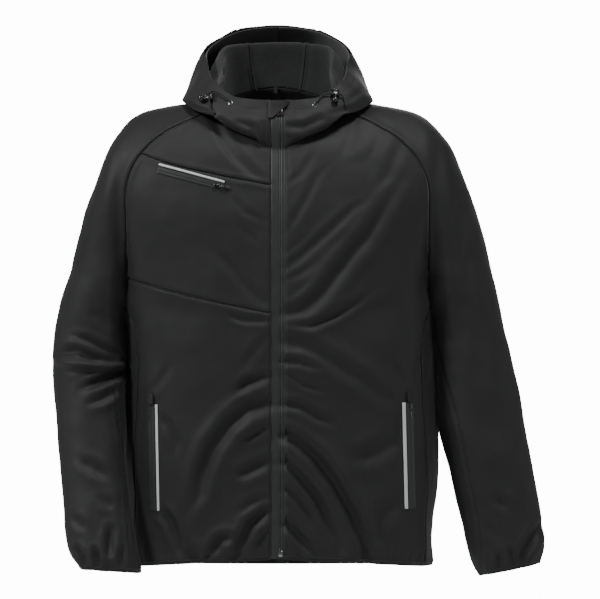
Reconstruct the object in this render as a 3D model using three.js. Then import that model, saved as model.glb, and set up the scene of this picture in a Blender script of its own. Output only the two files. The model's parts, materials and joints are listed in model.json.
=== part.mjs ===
// A hooded softshell jacket, filled out as if worn, in millimetres with +Z up.
// The front faces -Y. Left and right in the names are the wearer's, so "left" lies on +X.
// The origin is at the centre of the neck, level with the points where shoulder meets neck.
import * as THREE from 'three';

// Driving dimensions
const CLOTH_WALL = 2.0;
const SEAM_GAP = 0.3;
const TRIM_LIFT = 0.35;
const SIDES = { left: 1, right: -1 };

// The front opening: the zip's two panel edges and its coil
const ZIP = {
  edge: { left: 11.6, right: -10.0 }, coil_from: 2.9, coil_to: 6.9,
  tape_wall: 1.2, tape_sunk: 1.0, coil_wall: 2.2, coil_sunk: 0.6, side_gap: 0.35,
};
const BINDING = { width: 7, wall: 2.6 };
const BRIM = { from: 0.85, columns: 3, wall: 1.5, inset: 0.5 };

// The rows of the body, from the hem up to the neck. Row 5 passes the underarm point, and rows
// 5.4 and 9 are the two slanting seams of the right front.
// zip: y and z at the front opening, reach: how far a row runs straight out from it,
// front and back: where the row meets the side or raglan seam,
// front_in and back_in: the cloth's run there on the body's side,
// spine: y and z at the centre back.
const BODY_ROWS = [
  { row: 0, zip: [-118, -684], reach: 140, front: [227, -55, -696], front_in: [18, 40, 0],
    back: [227, -55, -696], back_in: [45, 165, 0], spine: [128, -700] },
  { row: 1, zip: [-121, -612], reach: 140, front: [225, -58, -610], front_in: [18, 40, 0],
    back: [225, -58, -610], back_in: [64, 168, 0], spine: [132, -612] },
  { row: 2, zip: [-124, -523], reach: 140, front: [220, -62, -505], front_in: [20, 38, 0],
    back: [220, -62, -505], back_in: [88, 172, 0], spine: [136, -508] },
  { row: 3, zip: [-127, -434], reach: 140, front: [216, -62, -400], front_in: [20, 38, 0],
    back: [216, -62, -400], back_in: [98, 172, 0], spine: [138, -402] },
  { row: 4, zip: [-129, -378], reach: 140, front: [219, -56, -335], front_in: [18, 44, 0],
    back: [219, -56, -335], back_in: [75, 165, 0], spine: [140, -338] },
  { row: 5, zip: [-130, -330], reach: 145, front: [232, -30, -280], front_in: [12, 58, 0],
    back: [232, -30, -280], back_in: [28, 120, 0], spine: [142, -290] },
  { row: 5.4, zip: [-130, -311], reach: 145, front: [231, -45, -257], front_in: [16, 50, 0],
    back: [231, 2, -257], back_in: [10, 90, 0], spine: [142, -266] },
  { row: 6, zip: [-129, -270], reach: 140, front: [231, -62, -215], front_in: [22, 38, 0],
    back: [228, 32, -215], back_in: [-2, 60, 0], spine: [142, -228] },
  { row: 7, zip: [-126, -215], reach: 130, front: [231, -80, -160], front_in: [35, 30, 0],
    back: [222, 64, -160], back_in: [-18, 48, 0], spine: [140, -172] },
  { row: 8, zip: [-121, -163], reach: 115, front: [230, -86, -112], front_in: [42, 22, 6],
    back: [212, 88, -108], back_in: [-38, 32, -3], spine: [135, -118] },
  { row: 9, zip: [-112, -115], reach: 95, front: [208, -82, -66], front_in: [40, 18, 20],
    back: [188, 98, -62], back_in: [-45, 20, -14], spine: [126, -68] },
  { row: 10, zip: [-104, -88], reach: 70, front: [165, -70, -29], front_in: [34, 22, 22],
    back: [148, 94, -22], back_in: [-40, 14, -6], spine: [112, -22] },
  { row: 11, zip: [-97, -70], reach: 50, front: [120, -55, -8], front_in: [20, 22, 20],
    back: [108, 80, 5], back_in: [-34, 14, 2], spine: [95, 14] },
  { row: 12, zip: [-92, -58], reach: 30, front: [93, -43, -1], front_in: [5, 25, 19],
    back: [72, 60, 24], back_in: [-24, 12, 8], spine: [78, 40] },
];
// How much narrower the right half stands at each row
const RIGHT_HALF = [
  { row: 0, slim: 0.985 }, { row: 1, slim: 0.965 }, { row: 3, slim: 0.95 },
  { row: 4, slim: 0.965 }, { row: 5, slim: 0.995 }, { row: 12, slim: 1.0 },
];
// The sleeve caps, for the rows above the underarm. ridge: the shoulder's top line on each
// side, front_out and back_out: the cloth's run on the sleeve's side of the raglan seams,
// ridge_front and ridge_back: how far it runs level across the ridge.
const CAP_ROWS = [
  { row: 5, ridge_left: [331, 0, -245], ridge_right: [319, 0, -245],
    front_out: [5, -62, 2], back_out: [5, 118, 2], ridge_front: 85, ridge_back: 90 },
  { row: 5.4, ridge_left: [326, 1, -225], ridge_right: [314, 1, -225],
    front_out: [18, -48, 0], back_out: [15, 85, 0], ridge_front: 80, ridge_back: 85 },
  { row: 6, ridge_left: [318, 2, -195], ridge_right: [307, 2, -195],
    front_out: [35, -28, 0], back_out: [30, 50, 0], ridge_front: 72, ridge_back: 76 },
  { row: 7, ridge_left: [305, 3, -148], ridge_right: [294, 3, -148],
    front_out: [45, -10, 5], back_out: [45, 16, 0], ridge_front: 62, ridge_back: 66 },
  { row: 8, ridge_left: [286, 4, -101], ridge_right: [277, 4, -101],
    front_out: [42, 2, 12], back_out: [48, 2, 8], ridge_front: 55, ridge_back: 60 },
  { row: 9, ridge_left: [260, 6, -44], ridge_right: [253, 6, -44],
    front_out: [40, 16, 22], back_out: [48, -10, 24], ridge_front: 48, ridge_back: 55 },
  { row: 10, ridge_left: [216, 8, -4], ridge_right: [214, 8, -4],
    front_out: [34, 26, 18], back_out: [42, -20, 20], ridge_front: 42, ridge_back: 48 },
  { row: 11, ridge_left: [158, 8, 11], ridge_right: [158, 8, 11],
    front_out: [24, 24, 14], back_out: [32, -22, 12], ridge_front: 34, ridge_back: 38 },
  { row: 12, ridge_left: [97, 8, 12], ridge_right: [97, 8, 12],
    front_out: [4, 20, 5], back_out: [9, -16, -3], ridge_front: 18, ridge_back: 20 },
];
// The sleeves below the underarm. down: 0 at the underarm and 1 at the cuff, inner and outer:
// x and z of the tube's two edges seen from the front, mid: its y, front and back: its depth
// each way, seam: how far round the front the sleeve seam has come.
const SLEEVE_ROWS = {
  left: [
    { down: 0.10, inner: [241, -312], outer: [341, -292], mid: -4, front: 62, back: 64, seam: 0.02 },
    { down: 0.25, inner: [249, -378], outer: [356, -358], mid: -8, front: 56, back: 60, seam: 0.07 },
    { down: 0.45, inner: [251, -460], outer: [375, -448], mid: -12, front: 54, back: 54, seam: 0.13 },
    { down: 0.62, inner: [262, -538], outer: [391, -540], mid: -16, front: 50, back: 48, seam: 0.17 },
    { down: 0.80, inner: [281, -622], outer: [406, -622], mid: -22, front: 44, back: 42, seam: 0.19 },
    { down: 0.93, inner: [297, -686], outer: [411, -671], mid: -28, front: 38, back: 36, seam: 0.20 },
    { down: 1.00, inner: [309, -712], outer: [405, -692], mid: -30, front: 31, back: 29, seam: 0.20 },
  ],
  right: [
    { down: 0.10, inner: [237, -312], outer: [334, -292], mid: -6, front: 62, back: 62, seam: 0.02 },
    { down: 0.25, inner: [238, -378], outer: [345, -366], mid: -14, front: 58, back: 60, seam: 0.06 },
    { down: 0.45, inner: [238, -462], outer: [341, -455], mid: -34, front: 54, back: 54, seam: 0.08 },
    { down: 0.62, inner: [233, -542], outer: [333, -540], mid: -62, front: 49, back: 46, seam: 0.10 },
    { down: 0.80, inner: [220, -626], outer: [326, -622], mid: -92, front: 43, back: 38, seam: 0.12 },
    { down: 0.93, inner: [211, -682], outer: [318, -672], mid: -110, front: 37, back: 31, seam: 0.14 },
    { down: 1.00, inner: [208, -704], outer: [303, -697], mid: -116, front: 30, back: 26, seam: 0.15 },
  ],
};

// The hood, thrown back and propped open. along: 0 at the zip, 1 and 2 at the raglan seams and
// 3 at the centre back. From the neck seam the cloth rises inside (stand) to a crest, turns
// down into the pouch (lap), round its foot (fold), and up the outside (swell, brow) to the rim.
const HOOD_ROWS = [
  { along: 0, stand: [11, -97, -44], crest: [11, -99, -30], lap: [11, -97, -15],
    fold: [11, -93, -5], swell: [11, -90, 3], brow: [11, -88, 10], rim: [11, -86, 17] },
  { along: 0.45, stand: [40, -97, -41], crest: [42, -101, -30], lap: [43, -101, -18],
    fold: [43, -97, -7], swell: [42, -93, 2], brow: [40, -90, 10], rim: [38, -87, 17] },
  { along: 0.8, stand: [80, -77, -23], crest: [86, -87, -19], lap: [92, -88, -13],
    fold: [92, -86, -3], swell: [86, -83, 8], brow: [78, -79, 16], rim: [69, -74, 23] },
  { along: 1.1, stand: [93, -50, 6], crest: [92, -56, 18], lap: [104, -70, 2],
    fold: [117, -72, -3], swell: [120, -68, 12], brow: [109, -61, 30], rim: [95, -54, 44] },
  { along: 1.4, stand: [90, -22, 26], crest: [84, -30, 46], lap: [104, -28, 24],
    fold: [142, -34, 11], swell: [139, -30, 25], brow: [122, -28, 45], rim: [105, -26, 57] },
  { along: 1.7, stand: [90, 14, 40], crest: [82, 4, 68], lap: [104, 14, 40],
    fold: [146, 14, 17], swell: [138, 16, 35], brow: [122, 10, 61], rim: [110, 4, 78] },
  { along: 2.05, stand: [76, 50, 60], crest: [84, 38, 98], lap: [112, 66, 44],
    fold: [132, 88, 4], swell: [130, 84, 47], brow: [121, 62, 84], rim: [111, 42, 101] },
  { along: 2.5, stand: [42, 69, 68], crest: [46, 63, 107], lap: [52, 110, 26],
    fold: [58, 146, -76], swell: [62, 174, 8], brow: [66, 134, 100], rim: [62, 87, 131] },
  { along: 3, stand: [0, 74, 74], crest: [0, 66, 108], lap: [0, 116, 20],
    fold: [0, 152, -94], swell: [0, 184, 0], brow: [0, 146, 104], rim: [0, 98, 138] },
];
const HOOD_LIFT = 0.5;

// The largest folds of the body and sleeves, seen from the front or the back. from and to:
// x and z of the fold's ends, width: its half-width, height: out from the cloth (minus is a
// trough).
const FOLDS = [
  { face: 'front', from: [42, -300], to: [190, -125], width: 22, height: 4 },
  { face: 'front', from: [44, -376], to: [158, -425], width: 22, height: 3.5 },
  { face: 'front', from: [16, -496], to: [96, -552], width: 16, height: 5 },
  { face: 'front', from: [96, -552], to: [133, -684], width: 18, height: 5 },
  { face: 'front', from: [26, -545], to: [70, -640], width: 15, height: -4 },
  { face: 'front', from: [-28, -450], to: [-105, -525], width: 20, height: 5 },
  { face: 'front', from: [-105, -525], to: [-130, -635], width: 20, height: 5 },
  { face: 'front', from: [-30, -620], to: [-110, -675], width: 14, height: 4 },
  { face: 'front', from: [-80, -210], to: [-25, -285], width: 18, height: -3.5 },
  { face: 'front', from: [-313, -350], to: [-262, -384], width: 12, height: -5 },
  { face: 'front', from: [-325, -384], to: [-270, -392], width: 12, height: 5 },
  { face: 'front', from: [-300, -422], to: [-248, -398], width: 12, height: -4.5 },
  { face: 'front', from: [-302, -455], to: [-256, -434], width: 12, height: 4 },
  { face: 'front', from: [285, -430], to: [350, -500], width: 14, height: -4 },
  { face: 'front', from: [290, -500], to: [385, -560], width: 14, height: 4.5 },
  { face: 'back', from: [-150, -180], to: [20, -300], width: 24, height: 5 },
  { face: 'back', from: [160, -200], to: [40, -360], width: 24, height: 5 },
  { face: 'back', from: [-110, -430], to: [90, -520], width: 26, height: -5 },
  { face: 'back', from: [-60, -560], to: [-120, -690], width: 20, height: 6 },
  { face: 'back', from: [90, -570], to: [60, -695], width: 20, height: 6 },
  { face: 'back', from: [262, -390], to: [345, -430], width: 14, height: 5 },
  { face: 'back', from: [-250, -400], to: [-330, -370], width: 14, height: 5 },
];

// How finely each surface is divided
const BODY_STATIONS = [0, 0.4, 0.8, 1.2, 1.6, 2, 2.4, 2.8, 3.2, 3.6, 4, 4.35, 4.7, 5,
  5.4, 6, 6.5, 7, 7.5, 8, 8.5, 9, 9.5, 10, 11, 12];
const ROW_UNDERARM = 5;
const ROW_LOWER_SEAM = 5.4;
const ROW_YOKE_SEAM = 9;
const FRONT_COLUMNS = 9;
const BACK_HALF_COLUMNS = 10;
const SLEEVE_HALF_COLUMNS = 7;
const SLEEVE_STEPS = 15;
const HOOD_STOPS = [0, 0.25, 0.5, 0.7, 0.85, 1, 1.15, 1.3, 1.5, 1.7, 1.9, 2.1, 2.3, 2.5, 2.75, 3];

const vec = (x, y, z) => new THREE.Vector3(x, y, z);

// Smooth values between the rows of a table: a cubic through each column's entries.
function lookup(table, key, at) {
  const last = table.length - 1;
  let i = table.findIndex((row, n) => n < last && at <= table[n + 1][key]);
  if (i < 0) i = last - 1;
  const [r0, r1, r2, r3] = [table[Math.max(i - 1, 0)], table[i], table[i + 1],
    table[Math.min(i + 2, last)]];
  const span = r2[key] - r1[key];
  const t = (at - r1[key]) / span;
  const blend = (a, b, c, d) => {
    const m1 = i > 0 ? ((c - a) / (r2[key] - r0[key])) * span : c - b;
    const m2 = i + 2 <= last ? ((d - b) / (r3[key] - r1[key])) * span : c - b;
    const t2 = t * t;
    const t3 = t2 * t;
    return (2 * t3 - 3 * t2 + 1) * b + (t3 - 2 * t2 + t) * m1 + (3 * t2 - 2 * t3) * c
      + (t3 - t2) * m2;
  };
  const out = {};
  for (const name of Object.keys(r1)) {
    out[name] = Array.isArray(r1[name])
      ? r1[name].map((_, n) => blend(r0[name][n], r1[name][n], r2[name][n], r3[name][n]))
      : blend(r0[name], r1[name], r2[name], r3[name]);
  }
  return out;
}

function bezier(p0, p1, p2, p3, t) {
  return new THREE.CubicBezierCurve3(p0, p1, p2, p3).getPoint(t);
}

// Body surfaces

function slimness(side, row) {
  return side === 'left' ? 1 : lookup(RIGHT_HALF, 'row', row).slim;
}

// A point of a table row, mirrored and slimmed for one side
function placed(side, row, [x, y, z]) {
  return vec(SIDES[side] * x * slimness(side, row), y, z);
}

function frontPoint(side, row, across) {
  const r = lookup(BODY_ROWS, 'row', row);
  const start = vec(ZIP.edge[side], r.zip[0], r.zip[1]);
  const end = placed(side, row, r.front);
  const slope = (end.z - start.z) / Math.abs(end.x - start.x);
  const sign = SIDES[side];
  const out = start.clone().add(vec(sign * r.reach, 0, slope * r.reach * 0.8));
  const into = end.clone().sub(placed(side, row, r.front_in));
  if (row < ROW_YOKE_SEAM) into.z = THREE.MathUtils.lerp(into.z, end.z - slope * 30, 0.5);
  return bezier(start, out, into, end, across);
}

// across: -1 at the right side seam, 0 at the centre back, 1 at the left side seam
function backPoint(row, across) {
  const side = across >= 0 ? 'left' : 'right';
  const r = lookup(BODY_ROWS, 'row', row);
  const middle = vec(0, r.spine[0], r.spine[1]);
  const edge = row <= ROW_UNDERARM ? r.front : r.back;
  const end = placed(side, row, edge);
  const run = THREE.MathUtils.lerp(0.35, 0.6, THREE.MathUtils.clamp((12 - row) / 5, 0, 1));
  const out = middle.clone().add(vec(SIDES[side] * r.back[0] * run, 0, 0));
  const into = end.clone().add(placed(side, row, r.back_in));
  return bezier(middle, out, into, end, Math.abs(across));
}

// Sleeve surfaces. round: 0 at the front raglan seam, 0.5 at the ridge, 1 at the back one.
function capPoint(side, row, round) {
  const body = lookup(BODY_ROWS, 'row', row);
  const cap = lookup(CAP_ROWS, 'row', row);
  const sign = SIDES[side];
  const ridge = vec(sign * cap[`ridge_${side}`][0], ...cap[`ridge_${side}`].slice(1));
  const run = ([x, y, z]) => vec(sign * x, y, z);
  const tilt = vec(0, 1, 0);
  if (round <= 0.5) {
    const start = placed(side, row, body.front);
    return bezier(start, start.clone().add(run(cap.front_out)),
      ridge.clone().addScaledVector(tilt, -cap.ridge_front), ridge, round * 2);
  }
  const end = placed(side, row, body.back);
  return bezier(ridge, ridge.clone().addScaledVector(tilt, cap.ridge_back),
    end.clone().add(run(cap.back_out)), end, round * 2 - 1);
}

// The first ring of the tube is the cap's last row, written in the tube table's own terms.
function tubeTable(side) {
  const body = lookup(BODY_ROWS, 'row', ROW_UNDERARM);
  const cap = lookup(CAP_ROWS, 'row', ROW_UNDERARM);
  const ridge = cap[`ridge_${side}`];
  const inner = placed(side, ROW_UNDERARM, body.front);
  const first = {
    down: 0, inner: [Math.abs(inner.x), inner.z], outer: [ridge[0], ridge[2]],
    mid: 0, front: 70, back: 64, seam: 0,
  };
  return [first, ...SLEEVE_ROWS[side]];
}

function tubePoint(side, down, round) {
  const r = lookup(tubeTable(side), 'down', down);
  const sign = SIDES[side];
  const inner = vec(sign * r.inner[0], r.mid, r.inner[1]);
  const outer = vec(sign * r.outer[0], r.mid, r.outer[1]);
  const turn = (r.seam + round) % 1;
  const bulge = 4 / 3;
  const forth = vec(0, -r.front * bulge, 0);
  const aft = vec(0, r.back * bulge, 0);
  if (turn <= 0.5) {
    return bezier(inner, inner.clone().add(forth), outer.clone().add(forth), outer, turn * 2);
  }
  return bezier(outer, outer.clone().add(aft), inner.clone().add(aft), inner, turn * 2 - 1);
}

function sleevePoint(side, down, round) {
  if (down <= 0) return capPoint(side, ROW_UNDERARM, round);
  const tube = tubePoint(side, down, round);
  const settle = 0.1;
  if (down >= settle) return tube;
  // Just under the arm the tube grows out of the cap's last row
  const cap = capPoint(side, ROW_UNDERARM, round).sub(tubePoint(side, 0, round));
  return tube.addScaledVector(cap, 1 - down / settle);
}

// The neck's edge. along: as in HOOD_ROWS.
function neckPoint(side, along) {
  const top = BODY_ROWS.at(-1).row;
  if (along <= 1) return frontPoint(side, top, along);
  if (along <= 2) return capPoint(side, top, along - 1);
  return backPoint(top, SIDES[side] * (3 - along));
}

// down: 0 at the neck seam and 1 at the hood's rim
function hoodPoint(side, along, down) {
  const r = lookup(HOOD_ROWS, 'along', along);
  const sign = SIDES[side];
  const seam = neckPoint(side, along).add(vec(0, 0, HOOD_LIFT));
  const stops = ['stand', 'crest', 'lap', 'fold', 'swell', 'brow', 'rim'];
  const points = [seam, ...stops.map((name) => vec(sign * r[name][0], r[name][1], r[name][2]))];
  if (along === 0) points.forEach((p) => p.setX(ZIP.edge[side]));
  return new THREE.CatmullRomCurve3(points, false, 'centripetal').getPoint(down);
}

// Sheets: grids of points with a wall behind them

class Sheet {
  constructor(name, rows, outward) {
    this.name = name;
    this.rows = rows;
    this.outward = outward;
  }

  normals() {
    const { rows, outward } = this;
    const high = rows.length - 1;
    const wide = rows[0].length - 1;
    return rows.map((row, i) => row.map((_, j) => {
      const along = rows[Math.min(i + 1, high)][j].clone().sub(rows[Math.max(i - 1, 0)][j]);
      const across = row[Math.min(j + 1, wide)].clone().sub(row[Math.max(j - 1, 0)]);
      return across.cross(along).normalize().multiplyScalar(outward);
    }));
  }
}

function gridOf(rowCount, columnCount, point) {
  return Array.from({ length: rowCount + 1 }, (_, i) => Array.from(
    { length: columnCount + 1 }, (__, j) => point(i / rowCount, j / columnCount)));
}

const seamKey = (p) => [p.x, p.y, p.z].map((n) => Math.round(n * 20)).join();

// Neighbours share their normals along a seam, unless they meet there at a sharp angle.
function weldNormals(sheets) {
  const all = sheets.map((sheet) => sheet.normals());
  const met = new Map();
  sheets.forEach((sheet, s) => sheet.rows.forEach((row, i) => row.forEach((p, j) => {
    const key = seamKey(p);
    if (!met.has(key)) met.set(key, []);
    met.get(key).push(all[s][i][j]);
  })));
  const softest = Math.cos(THREE.MathUtils.degToRad(75));
  sheets.forEach((sheet, s) => {
    sheet.shared = sheet.rows.map((row, i) => row.map((p, j) => {
      const own = all[s][i][j];
      const near = met.get(seamKey(p)).filter((n) => n.dot(own) > softest);
      return near.reduce((sum, n) => sum.add(n), vec(0, 0, 0)).normalize();
    }));
  });
}

function foldHeight(p, normal) {
  return FOLDS.reduce((sum, fold) => {
    const facing = fold.face === 'front' ? -normal.y : normal.y;
    if (facing <= 0) return sum;
    const [ax, az] = fold.from;
    const [bx, bz] = fold.to;
    const length = Math.hypot(bx - ax, bz - az);
    const t = ((p.x - ax) * (bx - ax) + (p.z - az) * (bz - az)) / (length * length);
    const off = ((p.x - ax) * (bz - az) - (p.z - az) * (bx - ax)) / length;
    if (t < -0.3 || t > 1.3) return sum;
    const ends = Math.cos(THREE.MathUtils.clamp((t - 0.5) / 1.6, -0.5, 0.5) * Math.PI);
    return sum + fold.height * Math.exp(-((off / fold.width) ** 2)) * ends * facing;
  }, 0);
}

function addFolds(sheets) {
  weldNormals(sheets);
  sheets.forEach((sheet) => {
    sheet.rows = sheet.rows.map((row, i) => row.map((p, j) => {
      const normal = sheet.shared[i][j];
      return p.clone().addScaledVector(normal, foldHeight(p, normal));
    }));
  });
  weldNormals(sheets);
}

function solidFrom(vertices, faces) {
  const geometry = new THREE.BufferGeometry();
  geometry.setAttribute('position', new THREE.Float32BufferAttribute(
    vertices.flatMap((p) => [p.x, p.y, p.z]), 3));
  geometry.setIndex(faces.flat());
  return geometry;
}

// A closed wall: the outer grid, the inner one behind it, and the four edges between. Each
// edge is drawn back by half the seam gap.
function wallOf(sheet, thickness, { lift = 0, trim = SEAM_GAP / 2 } = {}) {
  const { rows, shared, outward } = sheet;
  const high = rows.length - 1;
  const wide = rows[0].length - 1;
  const drawnBack = (i, j) => {
    const p = rows[i][j].clone();
    const pull = (q) => p.addScaledVector(q.clone().sub(rows[i][j]).normalize(), trim);
    if (i === 0) pull(rows[1][j]);
    if (i === high) pull(rows[high - 1][j]);
    if (j === 0) pull(rows[i][1]);
    if (j === wide) pull(rows[i][wide - 1]);
    return p;
  };
  const outer = [];
  const inner = [];
  rows.forEach((row, i) => row.forEach((_, j) => {
    const p = drawnBack(i, j);
    outer.push(p.clone().addScaledVector(shared[i][j], lift));
    inner.push(p.clone().addScaledVector(shared[i][j], lift - thickness));
  }));
  const count = outer.length;
  const at = (i, j) => i * (wide + 1) + j;
  const faces = [];
  const quad = (a, b, c, d) => {
    if (outward > 0) faces.push([a, b, c], [a, c, d]);
    else faces.push([a, c, b], [a, d, c]);
  };
  for (let i = 0; i < high; i += 1) {
    for (let j = 0; j < wide; j += 1) {
      const [a, b, c, d] = [at(i, j), at(i, j + 1), at(i + 1, j + 1), at(i + 1, j)];
      quad(a, b, c, d);
      quad(a + count, d + count, c + count, b + count);
    }
  }
  const edge = (a, b) => quad(a, a + count, b + count, b);
  for (let j = 0; j < wide; j += 1) {
    edge(at(0, j), at(0, j + 1));
    edge(at(high, j + 1), at(high, j));
  }
  for (let i = 0; i < high; i += 1) {
    edge(at(i + 1, 0), at(i, 0));
    edge(at(i, wide), at(i + 1, wide));
  }
  return solidFrom([...outer, ...inner], faces);
}

// Cloth panels

function stationsBetween(from, to) {
  return BODY_STATIONS.filter((row) => row >= from && row <= to);
}

function frontSheet(name, side, from, to) {
  const rows = stationsBetween(from, to).map((row) => Array.from(
    { length: FRONT_COLUMNS + 1 }, (_, j) => frontPoint(side, row, j / FRONT_COLUMNS)));
  return new Sheet(name, rows, SIDES[side]);
}

function backSheet() {
  const columns = Array.from({ length: 2 * BACK_HALF_COLUMNS + 1 },
    (_, j) => j / BACK_HALF_COLUMNS - 1);
  const rows = BODY_STATIONS.map((row) => columns.map((across) => backPoint(row, across)));
  return new Sheet('back', rows, -1);
}

function sleeveSheet(side) {
  const columns = 2 * SLEEVE_HALF_COLUMNS;
  const around = Array.from({ length: columns + 1 }, (_, j) => j / columns);
  const cap = stationsBetween(ROW_UNDERARM, 12).reverse();
  const rows = cap.map((row) => around.map((round) => capPoint(side, row, round)));
  for (let step = 1; step <= SLEEVE_STEPS; step += 1) {
    rows.push(around.map((round) => sleevePoint(side, step / SLEEVE_STEPS, round)));
  }
  return new Sheet(`sleeve_${side}`, rows, -SIDES[side]);
}

const HOOD_SPLIT = 2.5;
const HOOD_DOWN = 14;

function hoodSheet(side) {
  const stops = HOOD_STOPS.filter((along) => along <= HOOD_SPLIT);
  const rows = stops.map((along) => Array.from(
    { length: HOOD_DOWN + 1 }, (_, j) => hoodPoint(side, along, j / HOOD_DOWN)));
  return new Sheet(`hood_${side}`, rows, -SIDES[side]);
}

function hoodCentreSheet() {
  const stops = HOOD_STOPS.filter((along) => along >= HOOD_SPLIT);
  const profile = (side, along) => Array.from(
    { length: HOOD_DOWN + 1 }, (_, j) => hoodPoint(side, along, j / HOOD_DOWN));
  const rightHalf = stops.map((along) => profile('right', along));
  const leftHalf = stops.slice(0, -1).reverse().map((along) => profile('left', along));
  return new Sheet('hood_centre', [...rightHalf, ...leftHalf], 1);
}

const panels = [
  frontSheet('front_left', 'left', 0, 12),
  frontSheet('front_right_lower', 'right', 0, ROW_LOWER_SEAM),
  frontSheet('front_right_chest', 'right', ROW_LOWER_SEAM, ROW_YOKE_SEAM),
  frontSheet('front_right_yoke', 'right', ROW_YOKE_SEAM, 12),
  backSheet(),
  sleeveSheet('left'),
  sleeveSheet('right'),
];
addFolds(panels);
const hoods = [hoodSheet('left'), hoodCentreSheet(), hoodSheet('right')];
weldNormals(hoods);

// Finishes
const SHELL = { color: 0x232524, roughness: 0.78, metalness: 0 };
const LINING = { color: 0x2c2f2d, roughness: 0.95, metalness: 0 };
const TAPE = { color: 0x1b1c1c, roughness: 0.5, metalness: 0 };
const RIB = { color: 0x1d1e1e, roughness: 0.85, metalness: 0 };
const PIPING = { color: 0xd6d8d8, roughness: 0.4, metalness: 0 };
const HARD = { color: 0x111212, roughness: 0.3, metalness: 0 };
const METAL = { color: 0x8c8f90, roughness: 0.3, metalness: 1 };

const jacket = new THREE.Group();

function addPiece(name, geometry, finish) {
  const mesh = new THREE.Mesh(geometry, new THREE.MeshStandardMaterial(finish));
  mesh.name = name;
  jacket.add(mesh);
  return mesh;
}

panels.forEach((sheet) => addPiece(sheet.name, wallOf(sheet, CLOTH_WALL), SHELL));
hoods.forEach((sheet) => {
  addPiece(sheet.name, wallOf(sheet, CLOTH_WALL, { trim: SEAM_GAP }), SHELL);
});

// Bindings: a strip that carries an edge of the cloth on by the binding's width

function bindingSheet(name, edge, before, outward) {
  const strip = [SEAM_GAP, BINDING.width].map((reach) => edge.map((p, j) => {
    const on = p.clone().sub(before[j]).normalize();
    return p.clone().addScaledVector(on, reach);
  }));
  return new Sheet(name, strip, outward);
}

const panelNamed = (name) => panels.find((sheet) => sheet.name === name);

function hemSheet() {
  const left = panelNamed('front_left').rows;
  const right = panelNamed('front_right_lower').rows;
  const back = panelNamed('back').rows;
  const round = (i) => [...right[i], ...back[i].slice(1), ...left[i].slice(0, -1).reverse()];
  return bindingSheet('hem_binding', round(0), round(1), 1);
}

function cuffSheet(side) {
  const { rows } = panelNamed(`sleeve_${side}`);
  return bindingSheet(`cuff_binding_${side}`, rows.at(-1), rows.at(-2), -SIDES[side]);
}

const bindings = [hemSheet(), cuffSheet('left'), cuffSheet('right')];
weldNormals(bindings);
bindings.forEach((sheet) => {
  addPiece(sheet.name, wallOf(sheet, BINDING.wall, { lift: SEAM_GAP }), RIB);
});

// Brim facings: the hood's own edge repeated just inside it, joined at the centre back

function brimSheet(side) {
  const own = hoods.find((sheet) => sheet.name === `hood_${side}`);
  const centre = hoods.find((sheet) => sheet.name === 'hood_centre');
  const middle = (centre.rows.length - 1) / 2;
  const half = Array.from({ length: middle + 1 }, (_, n) => middle + n * SIDES[side]);
  const first = HOOD_STOPS.indexOf(BRIM.from);
  const flank = Array.from({ length: own.rows.length - 1 - first },
    (_, n) => own.rows.length - 2 - n);
  const cut = (grid, i) => grid[i].slice(-1 - BRIM.columns);
  const sheet = new Sheet(`brim_facing_${side}`,
    [...half.map((i) => cut(centre.rows, i)), ...flank.map((i) => cut(own.rows, i))],
    SIDES[side]);
  sheet.shared = [...half.map((i) => cut(centre.shared, i)),
    ...flank.map((i) => cut(own.shared, i))];
  return sheet;
}

for (const side of Object.keys(SIDES)) {
  const facing = brimSheet(side);
  addPiece(facing.name, wallOf(facing, BRIM.wall, { lift: -CLOTH_WALL - BRIM.inset }), LINING);
}

// What lies on the cloth is placed by a line sent straight in from the front

const skin = new THREE.Group();
[...panels, ...hoods].filter((sheet) => !sheet.name.startsWith('sleeve')).forEach((sheet) => {
  const { rows } = sheet;
  const wide = rows[0].length;
  const faces = [];
  for (let i = 0; i + 1 < rows.length; i += 1) {
    for (let j = 0; j + 1 < wide; j += 1) {
      const [a, b, c, d] = [i * wide + j, i * wide + j + 1, (i + 1) * wide + j + 1, (i + 1) * wide + j];
      faces.push([a, b, c], [a, c, d]);
    }
  }
  skin.add(new THREE.Mesh(solidFrom(rows.flat(), faces),
    new THREE.MeshBasicMaterial({ side: THREE.DoubleSide })));
});
skin.updateMatrixWorld(true);
const FAR_OUT = 500;

function hit(x, z) {
  const caster = new THREE.Raycaster(vec(x, -FAR_OUT, z), vec(0, 1, 0));
  return caster.intersectObject(skin, true)[0].point;
}

// A place on the front: its point, the way out, the way across and the way along, turned in
// the cloth by an angle in degrees.
function placeOn(x, z, turn = 0) {
  const reach = 5;
  const point = hit(x, z);
  const right = hit(x + reach, z).sub(hit(x - reach, z)).normalize();
  const up = hit(x, z + reach).sub(hit(x, z - reach)).normalize();
  const out = right.clone().cross(up).negate().normalize();
  if (out.y > 0) out.negate();
  const angle = THREE.MathUtils.degToRad(turn);
  const along = up.clone().addScaledVector(out, -up.dot(out)).normalize()
    .applyAxisAngle(out, angle);
  const across = along.clone().cross(out).normalize();
  return { point, out, along, across };
}

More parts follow.
